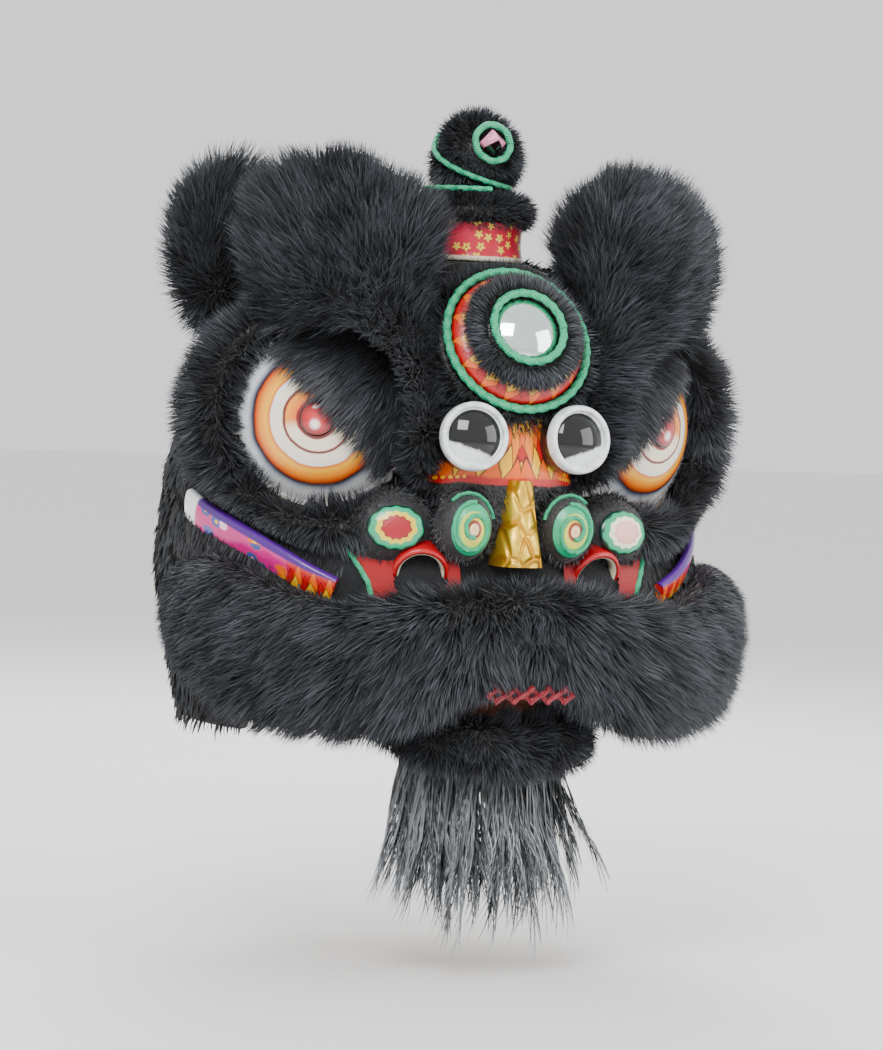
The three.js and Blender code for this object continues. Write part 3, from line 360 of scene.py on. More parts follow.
def roll(rows, core=CORE, steps=60, sides=40, inset=0.0):
    """Smooth roll through rows of centre, half width and half depth, held back by inset where pile grows."""
    line = spline(rows, steps)
    centre, wide, deep = line[:, :3], line[:, 3:4], line[:, 4:5]
    along = unit(np.gradient(centre, axis=0))
    out = centre - core
    out = unit(out - along * (out * along).sum(1, keepdims=True))
    across = np.cross(along, out)
    closing = np.radians([80, 60, 40, 20])[:, None]
    shut = np.concatenate([np.cos(closing), np.ones((steps, 1)), np.cos(closing[::-1])])
    first = centre[0] - along[0] * (deep[0] - inset) * np.sin(closing)
    last = centre[-1] + along[-1] * (deep[-1] - inset) * np.sin(closing[::-1])
    centre = np.concatenate([first, centre, last])
    out, across, wide, deep = (
        np.concatenate([values[[0] * 4], values, values[[-1] * 4]]) for values in (out, across, wide, deep)
    )
    angle = np.linspace(0, 2 * np.pi, sides, endpoint=False)
    back = inset * np.clip(1.4 + 1.4 * np.sin(angle), 0, 1)
    ray = across[:, None] * (np.maximum(wide - back, 4) * np.cos(angle))[..., None]
    ray = ray + out[:, None] * (np.maximum(deep - back, 4) * np.sin(angle))[..., None]
    return grid(centre[:, None] + ray * shut[:, :, None])


def mirrored_rows(half):
    """Rows for the whole width from the rows of the left half."""
    return [(-x, *rest) for x, *rest in half[:0:-1]] + list(half)


# The shell as a smooth wall, and ways to keep fur clear of what stands in it

SHELL = spline(SHELL_ROWS, 70)


def shell_ring(row, angle, inset=0.0):
    height, half, front, back, power = row
    cos, sin = np.cos(angle), np.sin(angle)
    power = np.where(sin < 0, power, BACK_POWER)
    middle = min(MID_Y, (front + back) / 2)
    depth = np.where(sin < 0, middle - front, back - middle) - inset
    wide, deep = (np.sign(share) * np.abs(share) ** (2 / power) for share in (cos, sin))
    return np.stack([(half - inset) * wide, middle + depth * deep, height + 0 * cos], -1)


def shell_reach(points):
    """How far out from the shell's middle points are, where 1 is its outer face, and that middle."""
    half, front, back, power = (np.interp(points[:, 2], SHELL[:, 0], SHELL[:, i]) for i in range(1, 5))
    middle = np.minimum(MID_Y, (front + back) / 2)
    ahead = points[:, 1] < middle
    depth = np.where(ahead, middle - front, back - middle)
    power = np.where(ahead, power, BACK_POWER)
    x, y = np.abs(points[:, 0]) / half, np.abs(points[:, 1] - middle) / depth
    reach = (x**power + y**power) ** (1 / power)
    return np.where(points[:, 2] > SHELL[-1, 0], 9.0, reach), middle


def face_y(x, z):
    """Front of the shell at a side distance and a height."""
    half, front, power = (np.interp(z, SHELL[:, 0], SHELL[:, i]) for i in (1, 2, 4))
    share = np.minimum(1, np.abs(x) / half)
    return MID_Y - (MID_Y - front) * (1 - share**power) ** (1 / power)


def clear_of_shell(points):
    """Points inside the shell move out into its wall."""
    reach, middle = shell_reach(points)
    inside = reach < 1
    scale = np.where(inside, 0.996 / np.maximum(reach, 0.05), 1)
    moved = points.copy()
    moved[:, 0] *= scale
    moved[:, 1] = middle + (points[:, 1] - middle) * scale
    return moved, inside


def clear_of_ball(points, centre, radius, reach=None):
    """Points inside a ball move out to its face, where reach says that the ball stands."""
    away = points - centre
    far = np.linalg.norm(away, axis=1)
    inside = far < radius
    if reach is not None:
        inside &= reach(away)
    moved = np.where(inside[:, None], centre + away * (radius / np.maximum(far, 1))[:, None], points)
    return moved, inside


def clear_of_drum(points, centre, look, radius, low=-90.0, high=400.0):
    """Points inside a round drum move out to its wall."""
    away = points - centre
    height = away @ look
    flat = away - height[:, None] * look
    far = np.linalg.norm(flat, axis=1)
    inside = (far < radius) & (height > low) & (height < high)
    moved = centre + height[:, None] * look + flat * (radius / np.maximum(far, 1))[:, None]
    return np.where(inside[:, None], moved, points), inside


def over_lid(away, low=18):
    """Where the lid swings, from low upwards over the eye's axis."""
    return (np.abs(away @ LID_AXIS) < LID_SPAN) & (away @ LID_UP > low) & (away @ EYE_LOOK > -20)


def fitted(form, *rules):
    """Form moved clear by each rule, and a share of 1 where its skin is free to grow fur."""
    points, bare = form.points, np.zeros(len(form.points), bool)
    for rule in rules:
        points, inside = rule(points)
        bare |= inside
    return Form(points, form.faces, form.spots), 1.0 - bare


def round_drum(*drum):
    """A rule that keeps points clear of one drum."""
    return lambda points: clear_of_drum(points, *drum)


AROUND_EYE = (
    lambda points: clear_of_ball(points, EYE_HEART, LID_ROOM, over_lid),
    round_drum(EYE_HEART, EYE_LOOK, EYE_RADIUS + 9),
)
AROUND_BOSS = round_drum(BOSS_CENTRE, BOSS_LOOK, 90, -100, 120)
AROUND_CUP = round_drum(CUP_CENTRE, CUP_LOOK, 40, -60, 60)
AROUND_HORN = round_drum(HORN_BASE, UP, 76, -100, 300)


def both_sides(rule):
    """A rule for the left eye, kept on both sides of the face."""

    def kept(points):
        flip = np.column_stack([np.where(points[:, 0] < 0, -1, 1), np.ones((len(points), 2))])
        moved, inside = rule(points * flip)
        return moved * flip, inside

    return kept


# Nodes


class Wire:
    """A socket that takes part in sums; each sum adds its Math node."""

    def __init__(self, kit, socket):
        self.kit, self.socket = kit, socket

    def __add__(self, other):
        return self.kit.math("ADD", self, other)

    def __sub__(self, other):
        return self.kit.math("SUBTRACT", self, other)

    def __rsub__(self, other):
        return self.kit.math("SUBTRACT", other, self)

    def __mul__(self, other):
        return self.kit.math("MULTIPLY", self, other)

    def __truediv__(self, other):
        return self.kit.math("DIVIDE", self, other)

    def __rtruediv__(self, other):
        return self.kit.math("DIVIDE", other, self)

    def __pow__(self, other):
        return self.kit.math("POWER", self, other)

    def __gt__(self, other):
        return self.kit.math("GREATER_THAN", self, other)

    def __lt__(self, other):
        return self.kit.math("LESS_THAN", self, other)

    __radd__, __rmul__ = __add__, __mul__


class NodeKit:
    """Adds nodes to a tree."""

    def __init__(self, tree):
        self.tree = tree

    def node(self, kind, settings=None, sockets=None, out=0):
        """A node of one type: its settings first, then the values or wires of its sockets."""
        made = self.tree.nodes.new(kind)
        for name, value in (settings or {}).items():
            if name == "stops":
                self.set_stops(made.color_ramp, value)
            else:
                setattr(made, name, value)
        for name, value in (sockets or {}).items():
            for each in value if isinstance(value, tuple) and isinstance(value[0], Wire) else [value]:
                if isinstance(each, Wire):
                    self.tree.links.new(each.socket, made.inputs[name])
                else:
                    made.inputs[name].default_value = each
        return Wire(self, made.outputs[out]) if len(made.outputs) else made

    @staticmethod
    def set_stops(ramp, stops):
        while len(ramp.elements) < len(stops):
            ramp.elements.new(1)
        for element, (place, shade) in zip(ramp.elements, stops):
            element.position, element.color = place, shade

    def math(self, operation, *values):
        return self.node("ShaderNodeMath", {"operation": operation}, dict(enumerate(values)))

    def vector(self, operation, *values, out=0):
        return self.node("ShaderNodeVectorMath", {"operation": operation}, dict(enumerate(values)), out)

    def split(self, vector):
        made = self.node("ShaderNodeSeparateXYZ", {}, {0: vector})
        return [Wire(self, socket) for socket in made.socket.node.outputs]

    def step(self, value, low, high):
        """0 below low, 1 above high, and smooth between; low may be the larger one."""
        limits = {"Value": value, 1: min(low, high), 2: max(low, high)}
        risen = self.node("ShaderNodeMapRange", {"interpolation_type": "SMOOTHSTEP"}, limits)
        return risen if low < high else 1 - risen

    def noise(self, place, scale, detail=3.0, out="Fac"):
        return self.node("ShaderNodeTexNoise", {}, {"Vector": place, "Scale": scale, "Detail": detail}, out)


class Finish(NodeKit):
    """A material under way: constants go straight on its shader."""

    def __init__(self, name, **constants):
        self.material = bpy.data.materials.new(name)
        self.material.use_nodes = True
        super().__init__(self.material.node_tree)
        self.shader = self.tree.nodes["Principled BSDF"]
        for socket, value in constants.items():
            self.shader.inputs[socket.replace("_", " ")].default_value = value

    def lay(self, **wires):
        for socket, wire in wires.items():
            self.tree.links.new(wire.socket, self.shader.inputs[socket.replace("_", " ")])
        return self.material

    def bump(self, height, depth, strength=1.0):
        """Relief of a height from 0 to 1 that is depth metres deep."""
        wires = {"Height": height, "Distance": depth, "Strength": strength}
        return self.node("ShaderNodeBump", {}, wires)

    def place(self):
        return self.node("ShaderNodeTexCoord", out="Object")

    def spot(self):
        """Place in the piece's own pattern, in millimetres."""
        return self.attribute("spot", "Vector")

    def attribute(self, name, out="Fac"):
        return self.node("ShaderNodeAttribute", {"attribute_name": name}, {}, out)

    def mix(self, share, below, above):
        """Colour below where share is 0, and above where it is 1."""
        return self.node("ShaderNodeMix", {"data_type": "RGBA"}, {0: share, 6: below, 7: above}, 2)

    def ramp(self, value, stops):
        return self.node("ShaderNodeValToRGB", {"stops": stops}, {0: value})

    def cracks(self, place, scale):
        """Edges between cells, 0 on an edge."""
        settings = {"feature": "DISTANCE_TO_EDGE"}
        return self.node("ShaderNodeTexVoronoi", settings, {"Vector": place, "Scale": scale})


def settings_of(group):
    return getattr(bpy.context.scene, "lion_" + group)


# Finishes


@cache
def fur_finish():
    fur = settings_of("fur")
    made = Finish("black_fur", Roughness=0.5, Sheen_Weight=0.08)
    along, tone = made.attribute("along"), made.attribute("tone")
    # Each strand darkens towards its root and lightens towards its tip, scaled by its random tone: painted
    # shade deep in the pile and a painted highlight at the tips.
    shade = along**1.4 * (0.08 + 0.92 * made.step(tone, 0.15, 0.85))
    return made.lay(Base_Color=made.mix(shade, list(fur.root), list(fur.tip)))


@cache
def beard_finish():
    fur = settings_of("fur")
    made = Finish("beard_hair", Roughness=0.33)
    along, tone = made.attribute("along"), made.attribute("tone")
    streak = made.noise(made.vector("MULTIPLY", made.place(), (420.0, 420.0, 6.0)), 1.0, 2.0)
    # Grey streaks are the beard's own grey strands; each strand also darkens towards its root, painted shade
    # at the roots under the jaw fur.
    shade = made.step(streak * 0.75 + tone * 0.3, 0.36, 0.66) * (0.3 + 0.7 * along)
    return made.lay(Base_Color=made.mix(shade, list(fur.root), list(fur.beard)))


@cache
def plush_finish():
    made = Finish("black_plush", Roughness=0.9, Sheen_Weight=0.1)
    place = made.place()
    nap = made.noise(place, 420.0, 4.0)
    drift = made.noise(place, 22.0)
    tint = made.mix(nap * 0.6 + drift * 0.4, paint("050506"), paint("1b1d22"))
    return made.lay(Base_Color=tint, Normal=made.bump(nap, 0.0025))


@cache
def paper_finish():
    made = Finish("bare_paper", Roughness=0.85)
    place = made.place()
    scraps = made.cracks(place, 16.0)
    pulp = made.noise(place, 160.0, 5.0)
    tint = made.mix(pulp, paint("b89a6c"), paint("d9c49b"))
    seam = made.step(scraps, 0.0, 0.03)
    return made.lay(
        Base_Color=made.mix(seam, paint("9a7c50"), tint),
        Normal=made.bump(seam * 0.5 + pulp * 0.5, 0.0012),
    )


@cache
def cane_finish():
    made = Finish("cane", Roughness=0.5)
    place = made.vector("MULTIPLY", made.place(), (40.0, 700.0, 700.0))
    grain = made.noise(place, 1.0, 4.0)
    tint = made.mix(grain, paint("a87b3e"), paint("d8b679"))
    return made.lay(Base_Color=tint, Normal=made.bump(grain, 0.0006))


def dimmed(shade, share):
    return [c * share for c in shade[:3]] + [1]


@cache
def cord_finish(name, setting):
    """Twisted cord in one of the paint colours."""
    made = Finish(name, Roughness=0.42, Sheen_Weight=0.05)
    run, angle, _ = made.split(made.spot())
    # Thread stripes along the twist shape the bump and mix a darkened and a brightened copy of the cord
    # colour: painted shade in the grooves and a painted highlight on the crests.
    thread_relief_and_shade = made.math("SINE", run * 2.1 + angle * 3.0) * 0.5 + 0.5
    worn = made.noise(made.place(), 90.0)
    shade = list(getattr(settings_of("paint"), setting))
    # Brightened copy of the cord colour: a painted highlight.
    light = [min(1, c * 1.3 + 0.015) for c in shade[:3]] + [1]
    return made.lay(
        Base_Color=made.mix(thread_relief_and_shade * 0.55 + worn * 0.45, dimmed(shade, 0.55), light),
        Normal=made.bump(thread_relief_and_shade, 0.0005),
    )


def flames(made, run, rise, ground, tongues):
    """Rows of flame tongues along run with dark outlines, each row over the one before: a tongue has its
    reach, lean, phase and colour."""
    ink = list(settings_of("paint").ink)
    body = ground
    for reach, lean, phase, shade in tongues:
        wave = made.math("FRACT", run + rise * lean + phase)
        peak = 1 - made.math("ABSOLUTE", wave * 2.0 - 1.0)
        edge = rise - reach * peak**0.8
        body = made.mix(made.step(edge, 0.07, 0.0), body, ink)
        body = made.mix(made.step(edge, 0.01, -0.02), body, shade)
    return body


def tongues_of(group):
    return [
        (1.05, 0.35, 0.0, list(group.orange)),
        (0.72, 0.5, 0.42, list(group.red)),
        (0.6, 0.45, 0.1, list(group.yellow)),
    ]


@cache
def boss_finish():
    colours = settings_of("paint")
    made = Finish("flame_paint", Roughness=0.35, Coat_Weight=0.3)
    x, y, height = made.split(made.spot())
    radius = made.math("SQRT", x * x + y * y)
    angle = made.math("ARCTAN2", y, x) * (16 / (2 * math.pi))
    rise = (radius - 60.0) / 17.0
    shade = flames(made, angle, rise, list(colours.red), tongues_of(colours))
    bare = made.math("MAXIMUM", made.step(height, 0.0, -5.0), made.step(radius, 62.0, 60.0))
    shade = made.mix(bare, shade, list(colours.ink))
    grime = made.noise(made.place(), 60.0)
    return made.lay(
        Base_Color=made.mix(grime * 0.25, shade, list(colours.ink)),
        Normal=made.bump(made.noise(made.place(), 350.0), 0.0006),
    )


@cache
def bridge_finish():
    colours = settings_of("paint")
    made = Finish("bridge_paint", Roughness=0.35, Coat_Weight=0.3)
    x, _, z = made.split(made.vector("MULTIPLY", made.place(), (1 / MM,) * 3))
    aside = made.math("ABSOLUTE", x)
    wobble = made.noise(made.place(), 30.0) - 0.5
    run = aside / 23.0 + wobble * 0.5
    rise = (z - 228.0) / 84.0
    shade = flames(made, run, rise, list(colours.yellow), [
        (1.25, 0.9, 0.15, list(colours.orange)),
        (0.85, 1.1, 0.55, paint("f7860c")),
        (0.62, 0.8, 0.2, list(colours.red)),
        (0.5, 0.9, 0.45, list(colours.yellow)),
        (0.34, 0.6, 0.1, list(colours.orange)),
    ])
    fur = made.step(rise + wobble * 0.4 - aside / 300.0, 0.7, 0.8)
    shade = made.mix(fur, shade, list(colours.ink))
    hem = made.step(z + wobble * 8.0, 236.0, 232.0)
    shade = made.mix(hem, shade, list(colours.red))
    shade = made.mix(made.step(z + wobble * 8.0, 227.0, 225.0), shade, list(colours.ink))
    bead = made.math("FRACT", aside / 6.0) - 0.5
    line = (z - 242.0 + aside * 0.14) / 6.0
    dots = made.step(bead * bead + line * line, 0.13, 0.08) * (aside > 56.0)
    shade = made.mix(dots, shade, list(colours.yellow))
    return made.lay(Base_Color=shade, Normal=made.bump(made.noise(made.place(), 300.0), 0.0006))


@cache
def eye_finish():
    colours = settings_of("paint")
    made = Finish("eye_paint", Roughness=0.24, Coat_Weight=0.5, Coat_Roughness=0.1)
    spot = made.spot()
    x, y, _ = made.split(spot)
    wobble = (made.noise(spot, 0.03) - 0.5) * 5.0
    radius = made.math("SQRT", x * x + y * y) + wobble
    white, cream = list(colours.white), list(colours.cream)
    stops = [
        (0.0, paint("a3121c")), (0.235, paint("7a1016")), (0.25, paint("ea6c06")), (0.37, paint("f8a01c")),
        (0.385, paint("6a0f12")), (0.405, paint("6a0f12")), (0.42, cream), (0.55, paint("f2eee4")),
        (0.565, paint("e06a08")), (0.6, paint("ffb814")), (0.68, paint("fb920c")), (0.74, paint("d24c04")),
        (0.765, paint("3a1a18")), (0.785, paint("4b5266")), (0.84, paint("ccd3dd")), (0.87, white),
    ]
    rings = made.ramp(radius / EYE_RADIUS, stops)
    lower = made.step(y + x * 0.2, 6.0, -10.0) * made.step(radius, 37.0, 35.0)
    rings = made.mix(lower * made.step(radius, 22.0, 24.0), rings, cream)
    strokes = made.noise(made.vector("MULTIPLY", spot, (0.4, 0.4, 0.4)), 1.0, 6.0)
    return made.lay(
        Base_Color=made.mix(made.step(strokes, 0.45, 0.75) * 0.16, rings, paint("7b6a5c")),
        Normal=made.bump(strokes, 0.0005),
    )


@cache
def pupil_finish():
    made = Finish("pupil_red", Roughness=0.12, Coat_Weight=1.0, Coat_Roughness=0.05)
    x, y, _ = made.split(made.spot())
    radius = made.math("SQRT", x * x + y * y)
    shine = made.math("SQRT", (x - 2.0) * (x - 2.0) + (y + 6.0) * (y + 6.0))
    shade = made.ramp(radius / PUPIL_RADIUS, [
        (0.0, paint("e84a4e")), (0.45, paint("cf1824")), (0.8, paint("9a0a16")), (0.95, paint("2a0608")),
    ])
    return made.lay(Base_Color=made.mix(made.step(shine, 8.0, 2.0), shade, paint("fff1ec")))


@cache
def mirror_finish():
    made = Finish("mirror", Metallic=1.0)
    smear = made.noise(made.place(), 45.0, 4.0)
    return made.lay(
        Base_Color=made.mix(smear, paint("cfeadf"), paint("f2fbf7")),
        Roughness=0.03 + smear * 0.08,
    )


@cache
def dark_mirror_finish():
    # Nose mirror whose reflection is painted: a near-black ground as a painted dark reflection of the
    # surroundings.
    made = Finish("dark_mirror", Coat_Weight=0.25, Coat_Roughness=0.02)
    x, y, _ = made.split(made.spot())
    wobble = (made.noise(made.spot(), 0.12) - 0.5) * 9.0
    # White crescent low on the glass: a painted reflection of the bright ground.
    low = made.step(y + wobble - x * 0.35, -13.0, -18.0)
    shade = made.mix(low, paint("08090b"), paint("e4e8ea"))
    return made.lay(Base_Color=shade, Roughness=0.06 + 0.1 * low)


@cache
def enamel_finish(name, code, rough=0.3):
    made = Finish(name, Coat_Weight=0.4, Coat_Roughness=0.15)
    wear = made.noise(made.place(), 70.0, 5.0)
    shade = paint(code)
    return made.lay(
        Base_Color=made.mix(made.step(wear, 0.4, 0.75), shade, dimmed(shade, 0.72)),
        Roughness=rough + wear * 0.15,
        Normal=made.bump(made.noise(made.place(), 260.0), 0.0004),
    )


@cache
def cup_finish():
    colours = settings_of("paint")
    made = Finish("white_rim", Coat_Weight=0.4, Coat_Roughness=0.15)
    _, _, height = made.split(made.spot())
    wear = made.noise(made.place(), 70.0, 5.0)
    shade = made.mix(made.step(wear, 0.4, 0.8), list(colours.white), paint("a9b0b6"))
    return made.lay(
        Base_Color=made.mix(made.step(height + wear * 4.0, -1.0, -4.0), shade, list(colours.ink)),
        Roughness=0.25 + wear * 0.2,
    )


@cache
def gold_finish():
    made = Finish("gold_foil", Metallic=0.7)
    place = made.place()
    x, _, z = made.split(place)
    slant = made.math("SINE", (x * 190.0 + z * 130.0) + made.noise(place, 26.0) * 5.0)
    folds = made.cracks(made.vector("MULTIPLY", place, (1.0, 0.3, 0.55)), 60.0)
    # Folds and slanting creases of the foil shape the bump, and the foil is painted darker along them:
    # painted shade in the creases.
    crease_relief_and_shade = made.step(folds, 0.0, 0.2) * 0.6 + slant * 0.2
    # Darker towards the bottom of the ridge, where it goes under the lip fur: painted shade.
    low = made.step(z, 0.16, 0.138) * 0.4
    tint = made.mix(crease_relief_and_shade, paint("c98d12"), list(settings_of("paint").gold))
    return made.lay(
        Base_Color=made.mix(low, tint, paint("7a5a10")),
        Roughness=0.22 + made.noise(place, 140.0) * 0.2,
        Normal=made.bump(crease_relief_and_shade, 0.004),
    )


@cache
def nose_finish():
    made = Finish("nose_black", Roughness=0.5, Sheen_Weight=0.2)
    place = made.place()
    nap = made.noise(made.vector("MULTIPLY", place, (1.0, 1.0, 0.5)), 330.0, 4.0)
    tint = made.mix(nap, paint("08080a"), paint("2b2c30"))
    return made.lay(Base_Color=tint, Normal=made.bump(nap, 0.002))


@cache
def button_finish(pale):
    colours = settings_of("paint")
    made = Finish("button_paint_pale" if pale else "button_paint", Roughness=0.3, Coat_Weight=0.5)
    x, y, _ = made.split(made.spot())
    radius = made.math("SQRT", x * x / BUTTON_WIDE**2 + y * y / BUTTON_TALL**2)
    angle = made.math("ARCTAN2", y, x)
    edge = radius + made.math("SINE", angle * 11.0) * 0.03
    codes = ("e8a9a0", "d98a84", "f3d9c4", "eef0dc") if pale else ("a3061f", "54101a", "f3b417", "d8cf2c")
    heart, line, near, far = map(paint, codes)
    green = list(colours.green)
    shade = made.ramp(edge, [
        (0.0, heart), (0.46, heart), (0.5, line), (0.53, near), (0.68, far), (0.73, green), (0.9, green),
        (0.94, paint("06382c")),
    ])
    return made.lay(Base_Color=shade, Normal=made.bump(made.noise(made.place(), 240.0), 0.0006))


@cache
def spiral_finish():
    colours = settings_of("paint")
    made = Finish("spiral_paint", Roughness=0.34, Coat_Weight=0.3)
    share, _, _ = made.split(made.spot())
    green = list(colours.green)
    shade = made.ramp(share, [
        (0.0, green), (0.28, green), (0.34, paint("b9d24a")), (0.6, paint("e9d24a")),
        (0.66, paint("8a2a14")), (0.74, paint("8a2a14")), (0.8, paint("f2d9a8")), (1.0, paint("efb877")),
    ])
    return made.lay(Base_Color=shade, Normal=made.bump(made.noise(made.place(), 300.0), 0.0006))


@cache
def nostril_finish():
    made = Finish("nostril_red", Roughness=0.3, Coat_Weight=0.3)
    x, y, _ = made.split(made.spot())
    radius = made.math("SQRT", x * x + y * y)
    # Black inside the nostril cup is painted shade in the hollow; outside it come the cream rim, a dark red
    # line and the red ground.
    shade = made.ramp(radius / 40.0, [
        (0.0, paint("050506")), (0.53, paint("070707")), (0.57, paint("e9dcc0")), (0.63, paint("e9dcc0")),
        (0.66, paint("5a0a10")), (0.7, paint("b80d18")), (1.0, paint("b80d18")),
    ])
    return made.lay(Base_Color=shade, Normal=made.bump(made.noise(made.place(), 200.0), 0.0006))


@cache
def band_finish():
    colours = settings_of("paint")
    made = Finish("pink_band", Roughness=0.32, Coat_Weight=0.4)
    spot = made.spot()
    run, across, _ = made.split(spot)
    petals = {"Vector": spot, "Scale": 0.07}
    cells = made.node("ShaderNodeTexVoronoi", {}, petals, "Distance")
    red, green, blue = made.split(made.node("ShaderNodeTexVoronoi", {}, petals, "Color"))
    shade = made.mix(made.step(cells, 0.55, 0.4) * (red > 0.45), list(colours.pink), list(colours.orange))
    shade = made.mix(made.step(cells, 0.4, 0.3) * (green > 0.6), shade, paint("f7c9dc"))
    shade = made.mix(made.step(cells, 0.5, 0.4) * (blue > 0.72), shade, paint("40509c"))
    shade = made.mix(made.step(cells, 0.2, 0.1) * (red > 0.45), shade, list(colours.yellow))
    inner_end = made.step(run, 108.0, 118.0)
    flame = flames(made, run / 12.0, across / 36.0 + 0.5, list(colours.red), tongues_of(colours))
    shade = made.mix(inner_end, shade, flame)
    shade = made.mix(made.step(across, 14.5, 15.5), shade, list(colours.purple))
    shade = made.mix(made.step(run, 17.0, 14.0), shade, list(colours.white))
    return made.lay(Base_Color=shade, Normal=made.bump(cells, 0.0012))


@cache
def horn_finish():
    colours = settings_of("paint")
    made = Finish("horn_pink", Roughness=0.38, Coat_Weight=0.2)
    x, y, height = made.split(made.spot())
    run = made.math("ARCTAN2", y, x) * 56.0
    flat = made.node("ShaderNodeCombineXYZ", {}, {0: run, 1: height})
    stars = {"Vector": flat, "Scale": 0.075, "Randomness": 0.6}
    cells = made.node("ShaderNodeTexVoronoi", {}, stars, "Distance")
    middle = made.node("ShaderNodeTexVoronoi", {}, stars, "Position")
    u, v, _ = made.split(made.vector("SUBTRACT", flat, middle))
    petal = made.math("SINE", made.math("ARCTAN2", v, u) * 5.0) * 0.09
    bloom = made.step(cells + petal, 0.36, 0.3)
    heart = made.step(cells, 0.13, 0.1)
    drift = made.noise(made.place(), 25.0)
    ground = made.mix(drift, paint("e01c50"), list(colours.red))
    shade = made.mix(bloom, ground, list(colours.gold))
    shade = made.mix(heart, shade, paint("7a3d0c"))
    shade = made.mix(made.step(height, 8.0, 6.0), shade, list(colours.cream))
    weave = made.math("SINE", run * 4.2) * made.math("SINE", height * 4.2)
    return made.lay(Base_Color=shade, Normal=made.bump(bloom * 0.7 + weave * 0.15, 0.0012))


@cache
def gem_finish():
    made = Finish("pink_gem", Roughness=0.06, Coat_Weight=1.0)
    x, y, _ = made.split(made.spot())
    # Lower facets painted near black: painted shade on the gem's underside.
    low = made.step(y + made.math("ABSOLUTE", x) * 0.4, -1.0, -2.0)
    drift = made.noise(made.spot(), 0.2)
    bright = made.mix(drift, paint("f2639a"), paint("fbb6cf"))
    return made.lay(Base_Color=made.mix(low, bright, paint("14080d")))


@cache
def satin_finish(name, code):
    made = Finish(name, Roughness=0.4, Sheen_Weight=0.2)
    x, y, z = made.split(made.place())
    weave = made.math("SINE", x * 5200.0 + y * 1800.0) * made.math("SINE", z * 5200.0) * 0.5 + 0.5
    soil = made.noise(made.place(), 35.0, 4.0)
    shade = paint(code)
    return made.lay(
        Base_Color=made.mix(soil * 0.6, shade, dimmed(shade, 0.5)),
        Normal=made.bump(weave * 0.5 + soil * 0.5, 0.0008),
    )


# Making pieces


def mesh_object(name, form, finish, smooth=CREASE):
    """A new object of a form, its doubles merged and its faces turned out."""
    mesh = bpy.data.meshes.new(name)
    mesh.from_pydata((form.points * MM).tolist(), [], form.faces)
    layer = mesh.attributes.new("spot", "FLOAT_VECTOR", "POINT")
    layer.data.foreach_set("vector", form.spots.astype(np.float32).ravel())
    shape = bmesh.new()
    shape.from_mesh(mesh)
    bmesh.ops.remove_doubles(shape, verts=shape.verts, dist=1e-6)
    bmesh.ops.dissolve_degenerate(shape, edges=shape.edges, dist=1e-7)
    bmesh.ops.recalc_face_normals(shape, faces=shape.faces)
    shape.to_mesh(mesh)
    shape.free()
    mesh.materials.append(finish)
    mesh.shade_smooth()
    mesh.set_sharp_from_angle(angle=math.radians(smooth))
    made = bpy.data.objects.new(name, mesh)
    bpy.context.scene.collection.objects.link(made)
    return made


def settled(made, body, nodes=(), slot=None):
    """Piece set on its body, standing for its nodes."""
    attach(made, body)
    if nodes:
        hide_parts(*nodes)
    return made


def piece(name, form, finish, nodes=(), slot=None, body="head", smooth=CREASE):
    """A form made a piece: the nodes that it stands for and the body it rides on; slot is not used."""
    return settled(mesh_object(name, form, finish, smooth), body, nodes, slot)


def cane_pin(node):
    """A pin of the frame, finished as cane."""
    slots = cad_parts[node].data.materials
    slots.clear()
    slots.append(cane_finish())


def baked(made):
    """The object with its modifiers turned into a plain mesh."""
    graph = bpy.context.evaluated_depsgraph_get()
    mesh = bpy.data.meshes.new_from_object(made.evaluated_get(graph))
    made.modifiers.clear()
    made.data = mesh
    mesh.name = made.name
    return made


# Fur

PER_SQUARE_METRE = 1e4  # square centimetres
PILE_INPUTS = [
    ("Geometry", "NodeSocketGeometry"),
    ("Strand", "NodeSocketObject"),
    ("Finish", "NodeSocketMaterial"),
    ("Density", "NodeSocketFloat"),
    ("Length", "NodeSocketFloat"),
    ("Width", "NodeSocketFloat"),
    ("Clump", "NodeSocketFloat"),
    ("Stray", "NodeSocketFloat"),
    ("Seed", "NodeSocketInt"),
    ("Keep Skin", "NodeSocketBool"),
]


